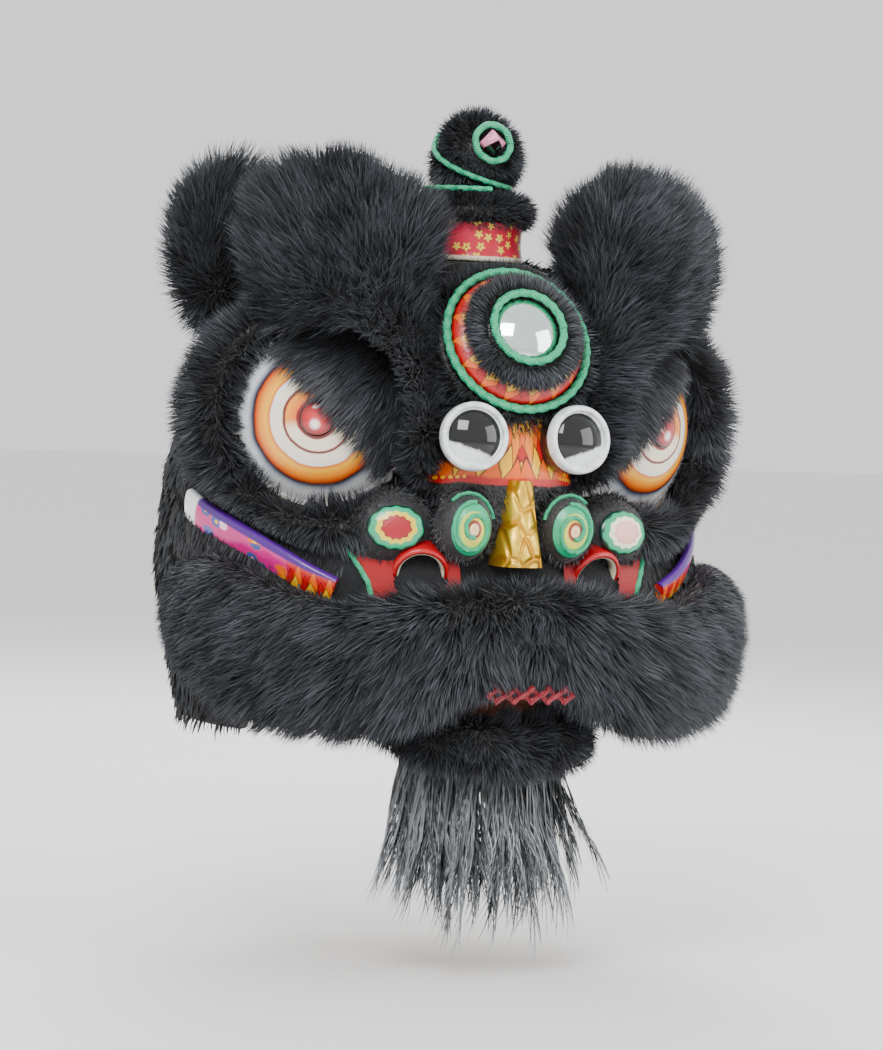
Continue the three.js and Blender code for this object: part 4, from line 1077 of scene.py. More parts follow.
@cache
def pile_tree():
    """Strands over a skin: each leans along the skin's comb and with the clump it stands in."""
    tree = bpy.data.node_groups.new("fur_pile", "GeometryNodeTree")
    for name, kind in PILE_INPUTS:
        tree.interface.new_socket(name=name, in_out="INPUT", socket_type=kind)
    tree.interface.new_socket(name="Geometry", in_out="OUTPUT", socket_type="NodeSocketGeometry")
    kit = NodeKit(tree)
    given = kit.node("NodeGroupInput").socket.node
    given = {socket.name: Wire(kit, socket) for socket in given.outputs if socket.name}

    def named(name, kind):
        return kit.node("GeometryNodeInputNamedAttribute", {"data_type": kind}, {"Name": name})

    def chance(low, high, shift):
        limits = {2: low, 3: high, "Seed": given["Seed"] + shift}
        return kit.node("FunctionNodeRandomValue", {"data_type": "FLOAT"}, limits, 1)

    dense = given["Density"] * named("cover", "FLOAT")
    spread = kit.node(
        "GeometryNodeDistributePointsOnFaces",
        {"distribute_method": "RANDOM"},
        {"Mesh": given["Geometry"], "Density": dense, "Seed": given["Seed"]},
    )
    normal = Wire(kit, spread.socket.node.outputs["Normal"])
    place = kit.node("GeometryNodeInputPosition")
    swirl = kit.noise(place, 1 / given["Clump"], 1.5, "Color")
    swirl = kit.vector("SUBTRACT", swirl, (0.5, 0.5, 0.5))
    lean = kit.node("ShaderNodeVectorMath", {"operation": "SCALE"}, {0: swirl, "Scale": given["Stray"]})
    loose = kit.node(
        "FunctionNodeRandomValue",
        {"data_type": "FLOAT_VECTOR"},
        {0: (-0.22,) * 3, 1: (0.22,) * 3, "Seed": given["Seed"] + 5},
    )
    way = kit.vector("ADD", kit.vector("ADD", named("comb", "FLOAT_VECTOR"), lean), loose)
    face = kit.vector("ADD", normal, kit.vector("MULTIPLY", loose, (4.0, 4.0, 4.0)))
    upright = kit.node("FunctionNodeAlignRotationToVector", {"axis": "Z"}, {"Vector": way})
    turned = kit.node(
        "FunctionNodeAlignRotationToVector",
        {"axis": "Y", "pivot_axis": "Z"},
        {"Rotation": upright, "Vector": face},
    )
    tall = given["Length"] * named("pile", "FLOAT") * chance(0.7, 1.12, 11)
    size = kit.node(
        "ShaderNodeCombineXYZ", {}, {0: given["Width"] * chance(0.75, 1.3, 23), 1: tall, 2: tall}
    )
    strand = kit.node("GeometryNodeObjectInfo", {}, {"Object": given["Strand"]}, "Geometry")
    grown = kit.node(
        "GeometryNodeInstanceOnPoints",
        {},
        {"Points": spread, "Instance": strand, "Rotation": turned, "Scale": size},
    )
    tone = chance(0.0, 1.0, 31) * 0.5 + kit.noise(place, 24.0, 2.0) * 0.9 - 0.25
    toned = kit.node(
        "GeometryNodeStoreNamedAttribute",
        {"data_type": "FLOAT", "domain": "INSTANCE"},
        {"Geometry": grown, "Name": "tone", "Value": tone},
    )
    skin = kit.node(
        "GeometryNodeSwitch",
        {"input_type": "GEOMETRY"},
        {"Switch": given["Keep Skin"], "True": given["Geometry"]},
    )
    whole = kit.node("GeometryNodeJoinGeometry", {}, {"Geometry": (skin, toned)})
    real = kit.node("GeometryNodeRealizeInstances", {}, {"Geometry": whole})
    done = kit.node("GeometryNodeSetMaterial", {}, {"Geometry": real, "Material": given["Finish"]})
    kit.node("NodeGroupOutput", {}, {"Geometry": done})
    return tree


@cache
def strand_object(name, parts, bend):
    """One strand of unit length along Z: a tapered ribbon that bends over."""
    share = np.linspace(0, 1, parts + 1)
    wide = np.sqrt(np.maximum(0, 1 - share**2.2)) * np.where(share < 0.15, 0.85, 1)
    sway = bend * share**2
    points, faces = [], []
    for i, s in enumerate(share):
        middle = np.array([0, -sway[i], s])
        if i < parts:
            points += [middle - (0.5 * wide[i], 0, 0), middle + (0.5 * wide[i], 0, 0)]
        else:
            points.append(middle)
    for i in range(parts - 1):
        faces.append((2 * i, 2 * i + 1, 2 * i + 3, 2 * i + 2))
    faces.append((2 * parts - 2, 2 * parts - 1, 2 * parts))
    return tool_object(name, points, faces, np.repeat(share, 2)[: len(points)])


@cache
def lock_object():
    """One lock of the beard, of unit length along Z: wavy ribbons that draw together to a curled tip."""
    chance = np.random.default_rng(5)
    points, faces, places = [], [], []
    for _ in range(20):
        reach = chance.uniform(0.62, 1.0)
        share = np.linspace(0, 1, 12)
        way, out = chance.uniform(0, 2 * np.pi), 0.045 * math.sqrt(chance.uniform(0, 1))
        close = out * (1 - 0.7 * share)
        wave = 0.03 * share * np.sin(7 * share + 0.6 * way) + 0.05 * share**3 * np.sin(3 * share)
        x = close * math.cos(way) + wave
        y = close * math.sin(way) + 0.03 * share * np.sin(5 * share + way)
        half = 0.0042 * np.sqrt(1 - share**3) + 0.0004
        face_way = chance.uniform(0, np.pi)
        for side in (-1, 1):
            edge = np.stack([x + side * half * math.cos(face_way), y + side * half * math.sin(face_way)], -1)
            points.append(np.column_stack([edge, share * reach]))
            places.append(share)
        first = 12 * (len(points) - 2)
        faces += [(first + i, first + 12 + i, first + 13 + i, first + 1 + i) for i in range(11)]
    return tool_object("beard_lock", np.vstack(points), faces, np.concatenate(places))


def tool_object(name, points, faces, along):
    """An object to be repeated, each point marked with how far along the strand it is."""
    mesh = bpy.data.meshes.new(name)
    mesh.from_pydata([tuple(p) for p in points], [], faces)
    mesh.shade_smooth()
    layer = mesh.attributes.new("along", "FLOAT", "POINT")
    layer.data.foreach_set("value", np.asarray(along, np.float32))
    made = bpy.data.objects.new(name, mesh)
    bpy.context.scene.collection.objects.link(made)
    return made


def furred(name, form, comb, cover=None, pile=None, strand=None, finish=None, keep=True, seed=1,
           body="head", nodes=(), slot="black_fur", **sizes):
    """Fur over a form. comb gives each strand's way from the skin's points and normals; cover and pile are
    shares of the density and of the length. Sizes are in metres, and density is strands in a square
    centimetre."""
    fur = settings_of("fur")
    finish = finish or fur_finish()
    mesh = bpy.data.meshes.new(name)
    mesh.from_pydata((form.points * MM).tolist(), [], form.faces)
    mesh.update()
    shape = bmesh.new()
    shape.from_mesh(mesh)
    bmesh.ops.recalc_face_normals(shape, faces=shape.faces)
    shape.to_mesh(mesh)
    shape.free()
    mesh.shade_smooth()
    made = bpy.data.objects.new(name, mesh)
    bpy.context.scene.collection.objects.link(made)
    count = len(mesh.vertices)
    normals = np.zeros(count * 3, np.float32)
    mesh.vertices.foreach_get("normal", normals)
    normals = normals.reshape(-1, 3).astype(float)
    for layer, kind, key, values in (
        ("comb", "FLOAT_VECTOR", "vector", comb(form.points, normals)),
        ("cover", "FLOAT", "value", np.ones(count) if cover is None else cover),
        ("pile", "FLOAT", "value", np.ones(count) if pile is None else pile),
    ):
        data = mesh.attributes.new(layer, kind, "POINT").data
        data.foreach_set(key, np.asarray(values, np.float32).ravel())
    share, broad = ((1.0, 1.0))
    values = {
        "Strand": strand or strand_object("strand", parts=2, bend=0.34),
        "Finish": finish,
        "Density": sizes.get("density", fur.density) * PER_SQUARE_METRE * share,
        "Length": sizes.get("length", fur.pile),
        "Width": sizes.get("width", fur.strand) * broad,
        "Clump": sizes.get("clump", fur.clump),
        "Stray": sizes.get("stray", 1.1),
        "Seed": seed,
        "Keep Skin": keep,
    }
    modifier = made.modifiers.new("pile", "NODES")
    modifier.node_group = pile_tree()
    for item in modifier.node_group.interface.items_tree:
        if item.in_out == "INPUT" and item.name in values:
            modifier[item.identifier] = values[item.name]
    baked(made)
    return settled(made, body, nodes, slot)


def combed(lift, *ways):
    """A comb of the skin's normal times lift, plus ways that are fixed or worked out from the points."""

    def comb(points, normals):
        lean = sum(way(points) if callable(way) else np.asarray(way, float) for way in ways) + 0 * points
        into_skin = np.minimum((lean * normals).sum(1, keepdims=True), 0)
        return normals * lift + lean - normals * into_skin

    return comb


def away_from(centre, look, share):
    """Out from an axis, for fur that parts round an eye or a mirror."""

    def way(points):
        flat = points - centre
        flat = flat - (flat @ look)[:, None] * look
        return unit(flat) * share

    return way


def far_from_axis(points, centre, look):
    flat = points - centre
    return np.linalg.norm(flat - (flat @ look)[:, None] * look, axis=1)


def from_eye(points, start, run):
    """Out from the eye's axis, fading over run millimetres to nothing at start millimetres out."""
    flat = points - EYE_CENTRE
    flat = flat - (flat @ EYE_LOOK)[:, None] * EYE_LOOK
    far = np.linalg.norm(flat, axis=1, keepdims=True)
    return unit(flat) * np.clip((start - far) / run, 0, 1)


def trimmed(points):
    """Share of the pile's length, cut short beside the cheek band."""
    line = spline(BAND_ROWS, 30)
    middle = np.stack([line[:, 0], face_y(line[:, 0], line[:, 1]), line[:, 1]], -1)
    near = np.linalg.norm(points[:, None] - middle[None], axis=2).min(1)
    return np.clip((near - 22) / 40, 0.22, 1)


def on_side(sign, rule):
    """A comb worked out on the left, for a skin that may be the right one's."""
    flip = np.array([sign, 1, 1])
    return lambda points, normals: rule(points * flip, normals * flip) * flip


class LION_OT_shell(bpy.types.Operator):
    """Shell, its plush, the hoop at its rim and the cross bar"""

    bl_idname = "lion.shell"
    bl_label = "Shell"

    def execute(self, context):
        angle = np.linspace(0, 2 * np.pi, 120, endpoint=False)
        rings = np.stack([shell_ring(row, angle) for row in SHELL])
        form = grid(rings)
        cover = mesh_object("shell_cover", form, plush_finish(), 60)
        shape = bmesh.new()
        shape.from_mesh(cover.data)
        top_row = SHELL[-1, 0] * MM - 0.01
        top_edges = [e for e in shape.edges if e.is_boundary and e.verts[0].co.z > top_row]
        bmesh.ops.contextual_create(shape, geom=top_edges)
        for plane, way in (((0, 0, MOUTH_TOP), (0, 0, 1)), ((0, MOUTH_BACK, 0), (0, 1, 0))):
            everything = shape.verts[:] + shape.edges[:] + shape.faces[:]
            bmesh.ops.bisect_plane(shape, geom=everything, plane_co=Vector(plane) * MM, plane_no=way)
        open_faces = [
            f
            for f in shape.faces
            if in_opening(np.array(f.calc_center_median()) / MM)
            or any(in_lid_room(np.array(v.co) / MM) for v in f.verts)
        ]
        bmesh.ops.delete(shape, geom=open_faces, context="FACES")
        for vert in {v for e in shape.edges if e.is_boundary for v in e.verts}:
            vert.co = Vector(on_eye_edge(np.array(vert.co) / MM) * MM)
        shape.to_mesh(cover.data)
        shape.free()
        cover.data.materials.append(paper_finish())
        wall = cover.modifiers.new("wall", "SOLIDIFY")
        wall.thickness, wall.offset, wall.material_offset = WALL * MM, -1, 1
        baked(cover)
        settled(cover, "head", ["head_shell"], "plush")
        free = np.array([not in_opening(p, margin=6) for p in form.points], float)
        x, y, z = form.points.T
        behind_nose = (np.abs(x) < 190) & (y < 0) & (z > 70) & (z < 180)
        free *= ~behind_nose
        pile = np.where(y < -20, 0.8, 1.0)
        strand = strand_object("plush_strand", parts=2, bend=0.35)
        comb = combed(0.35, (0, 0, -0.9), lambda p: unit(p - CORE) * (0.2, 0.5, 0))
        furred("shell_plush", form, comb, free, pile, strand, plush_strand_finish(), keep=False, seed=3,
               slot="plush", density=2.7, length=0.019, width=0.0032, stray=0.8, clump=0.05)
        hoop = np.linspace(0, 2 * np.pi, 400)
        path = shell_ring(SHELL[0], hoop, inset=6.5)
        path = path[path[:, 1] > MOUTH_BACK]
        start = int(np.argmax(np.linalg.norm(np.diff(path, axis=0), axis=1))) + 1
        path = np.roll(path, -start, axis=0) + (0, 0, 6)
        wrap = tube(path, radius=7, sides=12, ply=2, lay=18)
        piece("rim_hoop", wrap, satin_finish("rim_tape", "1d1a1c"), slot="plush")
        knots = []
        thick, thin = BAR_RADIUS, BAR_RADIUS - 0.4
        for x in np.linspace(-BAR_HALF, BAR_HALF, 9)[:-1]:
            knots += [(thick, x), (thin, x + 22), (thin, x + 58), (thick, x + 66), (9.9, x + 69)]
        profile = [(0, -BAR_HALF), (9, -BAR_HALF), *knots[1:], (9, BAR_HALF), (0, BAR_HALF)]
        bar = lathe(profile, (0, 0, 0), (1, 0, 0), 24)
        piece("cane_bar", bar, cane_finish(), ["cross_bar"], "cane")
        return {"FINISHED"}


def on_eye_edge(point):
    """A point of the shell near the edge of an eye hole, brought onto that edge."""
    flip = np.array([np.sign(point[0]) or 1, 1, 1])
    away = point * flip - EYE_HEART
    height = away @ EYE_LOOK
    flat = away - height * EYE_LOOK
    far = np.linalg.norm(flat)
    if height < 0 or abs(far - EYE_RADIUS) > 16:
        return point
    return (EYE_HEART + height * EYE_LOOK + flat * ((EYE_RADIUS + 2) / far)) * flip


def in_lid_room(point, margin=0.0):
    """Whether a point of the shell lies where a lid and its arms swing."""
    away = point * (np.sign(point[0]) or 1, 1, 1) - EYE_HEART
    return bool(np.linalg.norm(away) < LID_ROOM + margin and over_lid(away, 6))


def in_opening(point, margin=0.0):
    """Whether a point of the shell lies in the mouth, an eye hole or the room of a lid."""
    if point[1] < MOUTH_BACK and point[2] < MOUTH_TOP:
        return True
    away = point * (np.sign(point[0]) or 1, 1, 1) - EYE_HEART
    flat = np.linalg.norm(away - (away @ EYE_LOOK) * EYE_LOOK)
    in_eye = flat < EYE_RADIUS + 1 + margin and away @ EYE_LOOK > 0
    return bool(in_eye) or in_lid_room(point, margin)


@cache
def plush_strand_finish():
    made = Finish("plush_strand", Roughness=0.65, Sheen_Weight=0.05)
    along, tone = made.attribute("along"), made.attribute("tone")
    # Each plush strand runs from near black at the root to grey at the tip, scaled by its random tone:
    # painted shade deep in the pile and a painted highlight at the tips.
    return made.lay(Base_Color=made.mix(along * tone, paint("050607"), paint("363b44")))


class LION_OT_eyes(bpy.types.Operator):
    """Painted drum eyes with raised pupils"""

    bl_idname = "lion.eyes"
    bl_label = "Eyes"

    def execute(self, context):
        back = EYE_SPHERE - EYE_DOME - EYE_DEPTH
        widest = math.asin(EYE_RADIUS / EYE_SPHERE)

        def arc(radius, count):
            return [(radius * math.sin(a), radius * math.cos(a)) for a in np.linspace(0, widest, count)]

        inner = [(r * 0.99, h) for r, h in arc(EYE_SPHERE - WALL, 12)]
        drum = [*arc(EYE_SPHERE, 26), (EYE_RADIUS, back), (EYE_RADIUS - WALL, back), *inner[::-1]]
        foot = EYE_SPHERE * math.cos(PUPIL_RADIUS / EYE_SPHERE)
        quarter = np.linspace(0, math.pi / 2, 14)
        dome = [(PUPIL_RADIUS * math.sin(a), foot + 1 + 6.5 * math.cos(a)) for a in quarter]
        dome += [(PUPIL_RADIUS, foot), (0, EYE_SPHERE + 0.3)]
        angle = np.linspace(0, 2 * np.pi, 288, endpoint=False)
        drum_edge = EYE_RADIUS + 0.3 + 0 * angle
        scallop = EYE_RADIUS + 3 + 5 * np.abs(np.sin(16 * angle))
        side_way, top_way, ahead = axes(EYE_LOOK)
        ray = np.cos(angle)[:, None] * side_way + np.sin(angle)[:, None] * top_way
        edge = EYE_SPHERE - EYE_DOME
        loop = ((drum_edge, 3), (scallop, -1), (scallop, -3), (drum_edge, -2))
        frill = np.stack([EYE_HEART + (edge + h) * ahead + ray * reach[:, None] for reach, h in loop])
        frill = grid(frill, ends=True)
        white = enamel_finish("eye_frill", "f2f4f6")
        for side, sign in SIDES.items():
            form = lathe(drum, EYE_HEART, EYE_LOOK, 96).sided(sign)
            piece("eye_" + side, form, eye_finish(), ["eye_drum_" + side], "eye_paint", smooth=40)
            piece("eye_frill_" + side, frill.sided(sign), white, slot="eye_paint")
            form = lathe(dome, EYE_HEART, EYE_LOOK, 40).sided(sign)
            piece("pupil_dome_" + side, form, pupil_finish(), ["pupil_" + side], "pupil_red")
            cane_pin("eyelid_pin_" + side)
        return {"FINISHED"}


def on_eye(along, rise, out):
    """Points by their distances along the lid's axis, up from it and out of the eye."""
    ways = ((along, LID_AXIS), (rise, LID_UP), (out, EYE_LOOK))
    return EYE_HEART + sum(np.multiply.outer(far, way) for far, way in ways)


class LION_OT_lids(bpy.types.Operator):
    """Furred eyelids on their arms"""

    bl_idname = "lion.lids"
    bl_label = "Eyelids"

    def execute(self, context):
        turns = np.radians(np.linspace(13, 86, 34))
        spans = np.radians(np.linspace(-43, 43, 28))
        rows = []
        for t in turns:
            ring = []
            for radius, order in ((LID_INNER + WALL, spans), (LID_INNER, spans[::-1])):
                flat = radius * np.cos(order)
                ring.append(on_eye(radius * np.sin(order), flat * np.sin(t), flat * np.cos(t)))
            rows.append(np.concatenate(ring))
        patch = grid(np.array(rows), caps=True)
        reach = math.sqrt((LID_INNER + WALL / 2) ** 2 - (EYE_RADIUS + 2) ** 2)
        out = LID_UP * math.sin(math.radians(62)) + EYE_LOOK * math.cos(math.radians(62))
        across = np.cross(LID_AXIS, out)
        bow = np.radians(np.linspace(90, 270, 12))
        outline = [(9 * math.cos(a), 9 * math.sin(a)) for a in bow] + [(reach, -9), (reach, 9)]
        arms = None
        for start in (EYE_RADIUS + 2, -EYE_RADIUS - 7):
            flat = np.array([EYE_HEART + x * out + y * across for x, y in outline])
            both = np.stack([flat + LID_AXIS * start, flat + LID_AXIS * (start + 5)])
            arm = grid(both, caps=True)
            arms = arm if arms is None else arms + arm
        away = patch.points - EYE_HEART
        outer = np.linalg.norm(away, axis=1) > LID_INNER + WALL / 2
        rise = np.degrees(np.arctan2(away @ LID_UP, away @ EYE_LOOK))
        cover = outer * np.where(rise < 84, 1.0, 0)
        pile = np.clip(1.2 - (rise - 14) / 60, 0.55, 1)
        comb = combed(0.42, LID_UP * -0.75, (0.15, 0, -0.3))
        for side, sign in SIDES.items():
            furred("lid_" + side, patch.sided(sign), on_side(sign, comb), cover, pile, seed=41 + sign,
                   body="eyelid_" + side, nodes=["eyelid_" + side], length=0.03, density=34)
            piece("lid_arms_" + side, arms.sided(sign), enamel_finish("lid_arm", "1c1c1f"), slot="black_fur",
                  body="eyelid_" + side, smooth=30)
        return {"FINISHED"}


class LION_OT_brows(bpy.types.Operator):
    """Deep fur of the brows and cheeks"""

    bl_idname = "lion.brows"
    bl_label = "Brow and cheek fur"

    def execute(self, context):
        brow, cover = fitted(
            roll(BROW_ROWS, steps=70, sides=48, inset=17),
            clear_of_shell, *AROUND_EYE, AROUND_BOSS, AROUND_CUP, AROUND_HORN,
        )
        edge = far_from_axis(brow.points, EYE_CENTRE, EYE_LOOK)
        near_boss = far_from_axis(brow.points, BOSS_CENTRE, BOSS_LOOK)
        pile = np.clip((near_boss - 80) / 45, 0.35, 1) * np.clip((brow.points[:, 2] - 200) / 90, 0.45, 1)
        pile *= np.where(brow.points[:, 2] < 380, np.clip((edge - 60) / 50, 0.6, 1), 1)

        def toward_ear(p):
            return np.clip((p[:, 0] - 190) / 50, 0, 1) * np.clip((p[:, 2] - 440) / 70, 0, 1)

        def toward_horn(p):
            return np.clip((135 - p[:, 0]) / 50, 0, 1) * np.clip((p[:, 2] - 430) / 50, 0, 1)

        pile = pile + 0.6 * toward_ear(brow.points) + 0.5 * toward_horn(brow.points)
        
        def over_eye(p):
            return -from_eye(p, 150, 70) * np.where(p[:, 2:3] < 430, 0.75, 0)

        brow_comb = combed(
            0.75,
            (0.1, -0.1, 0.12),
            lambda p: unit(p - np.array([120, 0, 330.0])) * (0.5, 0.3, 0.5),
            over_eye,
            lambda p: toward_ear(p)[:, None] * (0.5, 0.2, 0.3),
            lambda p: toward_horn(p)[:, None] * (-0.6, 0, 0.25),
        )
        rows = []
        for angle, far, wide, deep in CHEEK_TURNS:
            a = math.radians(angle)
            spot = EYE_CENTRE + EYE_SIDE * far * math.cos(a) + UP * far * math.sin(a) - EYE_LOOK * 2
            rows.append((spot[0], min(spot[1], face_y(spot[0], spot[2]) - 6), spot[2], wide, deep))
        form = roll(rows, EYE_CENTRE - EYE_LOOK * 400, steps=60, sides=32, inset=11)
        cheek, free = fitted(form, clear_of_shell, *AROUND_EYE)
        cheek_comb = combed(
            0.6,
            away_from(EYE_CENTRE, EYE_LOOK, 0.45),
            lambda p: -from_eye(p, 128, 30) * 0.9,
            (0.1, 0, -0.15),
        )
        short = trimmed(cheek.points)
        for side, sign in SIDES.items():
            furred("brow_" + side, brow.sided(sign), on_side(sign, brow_comb), cover, pile,
                   seed=7 + sign, nodes=["brow_fur_" + side], density=33)
            furred("cheek_" + side, cheek.sided(sign), on_side(sign, cheek_comb), free, short,
                   seed=13 + sign, nodes=["cheek_fur_" + side], length=0.03, density=30)
        return {"FINISHED"}


class LION_OT_ears(bpy.types.Operator):
    """Fur ears that tip back"""

    bl_idname = "lion.ears"
    bl_label = "Ears"

    def execute(self, context):
        form = roll(EAR_ROWS, np.array([290, 400, 470.0]), steps=44, sides=32)
        form, free = fitted(form, clear_of_shell)
        middle = np.array([277, 40, 470.0])
        form.points[:] = middle + (form.points - middle) * (0.86, 0.7, 0.9)

        def toward_brow(p):
            return np.clip((300 - p[:, 0]) / 40, 0, 1) * np.clip((p[:, 2] - 470) / 50, 0, 1)

        comb = combed(
            0.7,
            lambda p: unit(p - np.array([272, 40, 420.0])) * (0.4, 0.2, 0.5),
            lambda p: toward_brow(p)[:, None] * (-0.5, -0.3, 0.3),
        )
        pile = 1 + 0.7 * toward_brow(form.points)
        for side, sign in SIDES.items():
            furred("ear_leaf_" + side, form.sided(sign), on_side(sign, comb), free, pile, seed=19 + sign,
                   body="ear_" + side, nodes=["ear_" + side], length=0.032, density=36)
            cane_pin("ear_pin_" + side)
        return {"FINISHED"}


class LION_OT_forehead(bpy.types.Operator):
    """Forehead boss with flame ring, cords, fur ring and mirror"""

    bl_idname = "lion.forehead"
    bl_label = "Forehead"

    def execute(self, context):
        green = cord_finish("green_cord", "green")
        wall = [(0, -70), (BOSS_RADIUS, -70), (BOSS_RADIUS, -30), (BOSS_RADIUS, 0)]
        crown = [(73, 7), (60, 14), (44, 30), (0, 30)]
        boss = lathe(soften(wall + crown, 2), BOSS_CENTRE, BOSS_LOOK, 80)
        piece("boss", boss, boss_finish(), ["forehead_boss"], "flame_paint")
        for name, node, ring, height, steps, cord, lay in (
            ("boss_cord", "forehead_cord", 82.4, 0, 300, 4.6, 15),
            ("mirror_ring", "mirror_cord", 41, 34.9, 180, 4.2, 13),
        ):
            path = ring_path(ring, BOSS_CENTRE, BOSS_LOOK, height, steps)
            form = tube(path, cord, sides=10, closed=True, ply=3, lay=lay)
            piece(name, form, green, [node], "green_cord")
        section = soften([(46.6, 29), (57, 18), (60, 20), (56, 27), (50, 30), (46.6, 29)], 1)
        comb = combed(0.55, away_from(BOSS_CENTRE, BOSS_LOOK, 0.8))
        furred("boss_fur", lathe(section[:-1], BOSS_CENTRE, BOSS_LOOK, 90, True), comb, seed=23,
               nodes=["forehead_fur"], length=0.015, density=66, width=0.0011, stray=0.9, clump=0.014)
        collar = lathe([(79, -60), (88, -40), (90, -22), (84, -12), (79, -14)], BOSS_CENTRE, BOSS_LOOK, 64)
        comb = combed(0.5, away_from(BOSS_CENTRE, BOSS_LOOK, 0.5), BOSS_LOOK * 0.25)
        furred("boss_collar", collar, comb, seed=27, length=0.02, density=14)
        glass = mirror_dome(BOSS_CENTRE, BOSS_LOOK, radius=36, rise=12, base=30.4)
        piece("brow_mirror", glass, mirror_finish(), ["forehead_mirror"], "mirror")
        return {"FINISHED"}


def mirror_dome(origin, look, radius, rise, base):
    """Convex mirror on a flat back, base millimetres out from its origin."""
    sphere = (radius**2 + rise**2) / (2 * rise)
    angle = np.linspace(0, math.asin(radius / sphere), 20)
    dome = [(sphere * math.sin(a), sphere * math.cos(a) - sphere + rise + base) for a in angle]
    return lathe([*dome, (0, base)], origin, look, 64)


class LION_OT_nose(bpy.types.Operator):
    """Bridge, nose mirrors, gold ridge, lobes, wings, buttons and nostrils"""

    bl_idname = "lion.nose"
    bl_label = "Nose"

    def execute(self, context):
        rows = [(150, 128, -186), (200, 112, -196), (245, 104, -200), (290, 98, -198), (330, 84, -186)]
        angle = np.linspace(0, 2 * np.pi, 96, endpoint=False)
        rings = [
            np.stack([half * np.cos(angle), -60 - (60 + front) * np.sin(angle), z + 0 * angle], -1)
            for z, half, front in spline(rows, 36)
        ]
        bridge, _ = fitted(grid(np.array(rings), caps=True), *map(both_sides, AROUND_EYE))
        piece("bridge", bridge, bridge_finish(), ["nose_bridge"], "flame_paint", smooth=40)
        x, y, z = bridge.points.T
        cover = ((z > 284 + np.abs(x) / 3) | (z < 224)) & (y < -80)
        furred("bridge_fur", bridge, combed(0.5, (0, 0, -0.2)), cover, keep=False, seed=71,
               length=0.013, density=8, stray=0.9, clump=0.014)
        ridge = spline([(138, 28, -226), (171, 21, -224), (202, 17.5, -218), (232, 15, -212)], 24)
        section = soften([(-1, 60), (-1, 10), (-0.4, 0), (0.4, 0), (1, 10), (1, 60)], 3)
        rings = [
            np.stack([section[:, 0] * half, front + section[:, 1], z + 0 * section[:, 0]], -1)
            for z, half, front in ridge
        ]
        piece("gold_ridge", grid(np.array(rings), caps=True), gold_finish(), ["nose_ridge"], "gold_foil")
        green = cord_finish("green_cord", "green")
        cup = [(0, -44), (35, -44), (38, -6), (38, 3), (36.5, 7.5), (33, 8), (31, 6), (31, 0), (0, 0)]
        cup = lathe(soften(cup, 2), CUP_CENTRE, CUP_LOOK, 56)
        glass = mirror_dome(CUP_CENTRE, CUP_LOOK, radius=30, rise=11, base=0.4)
        lobe = ellipsoid(LOBE_CENTRE, LOBE_RADII)
        wing = ellipsoid(WING_CENTRE, WING_RADII)
        button = nose_button()
        funnel = soften([(0, -40), (26, -40), (32, 0), (31, 5), (27, 6), (23, 3), (19, -16), (0, -16)], 2)
        funnel = lathe(funnel, NOSTRIL_CENTRE, NOSTRIL_LOOK, 48)
        panel = nose_panel()
        line = spline([(196, 186), (187, 172), (176, 146), (162, 116), (158, 100)], 60)
        path = np.stack([line[:, 0], face_y(line[:, 0], line[:, 1]) - 4, line[:, 1]], -1)
        edge = tube(path, radius=3, sides=9, ply=3, lay=16)
        red = satin_finish("nose_panel", "b30711")
        spiral = spiral_on_lobe()
        for side, sign in SIDES.items():
            for name, form, finish, nodes, slot, smooth in (
                ("cup_", cup, cup_finish(), ["mirror_cup_" + side], "white_rim", 35),
                ("cup_mirror_", glass, dark_mirror_finish(), ["nose_mirror_" + side], "mirror", CREASE),
                ("lobe_", lobe, nose_finish(), ["nose_lobe_" + side], "nose_black", CREASE),
                ("wing_", wing, nose_finish(), ["nose_wing_" + side], "nose_black", CREASE),
                ("spiral_", spiral[0], spiral_finish(), (), "green_cord", CREASE),
                ("spiral_cord_", spiral[1], green, (), "green_cord", CREASE),
                ("button_", button, button_finish(sign > 0), ["nose_button_" + side], "button_paint", CREASE),
                ("nostril_cup_", funnel, nostril_finish(), ["nostril_" + side], "nostril_red", CREASE),
                ("nose_panel_", panel, red, (), "nostril_red", CREASE),
                ("nose_cord_", edge, green, (), "green_cord", CREASE),
            ):
                piece(name + side, form.sided(sign), finish, nodes, slot, smooth=smooth)
        eggs = lobe + wing
        fuzz = eggs + eggs.sided(-1)
        x, y, z = fuzz.points.T
        x = np.abs(x)
        on_scroll = ((x - LOBE_CENTRE[0]) / 29) ** 2 + ((z - LOBE_CENTRE[2]) / 36) ** 2 < 1
        on_button = ((x - 134) / 38) ** 2 + ((z - 176) / 31) ** 2 < 1
        cover = (y < -140) & ~(on_scroll & (y < LOBE_CENTRE[1])) & ~(on_button & (y < -150))
        furred("nose_fuzz", fuzz, combed(0.45, (0, 0, -0.3)), cover, keep=False, seed=73,
               length=0.007, density=12, width=0.001, stray=1.1, clump=0.012, slot="nose_black")
        return {"FINISHED"}


def nose_button():
    """Oval button on the front of a wing."""
    look = unit(np.array([0.25, -0.96, 0.12]))
    angle = np.linspace(-0.3, math.pi / 2, 14)
    sides = 56
    dome = [(BUTTON_TALL * math.cos(a), BUTTON_RISE * math.sin(a)) for a in angle]
    button = lathe(dome, (0, 0, 0), look, sides)
    spots = button.spots * (BUTTON_WIDE / BUTTON_TALL, 1, 1)
    points = WING_CENTRE + look * 33 + spots @ np.stack(axes(look))
    return Form(points, button.faces + [tuple(range(sides))[::-1]], spots)


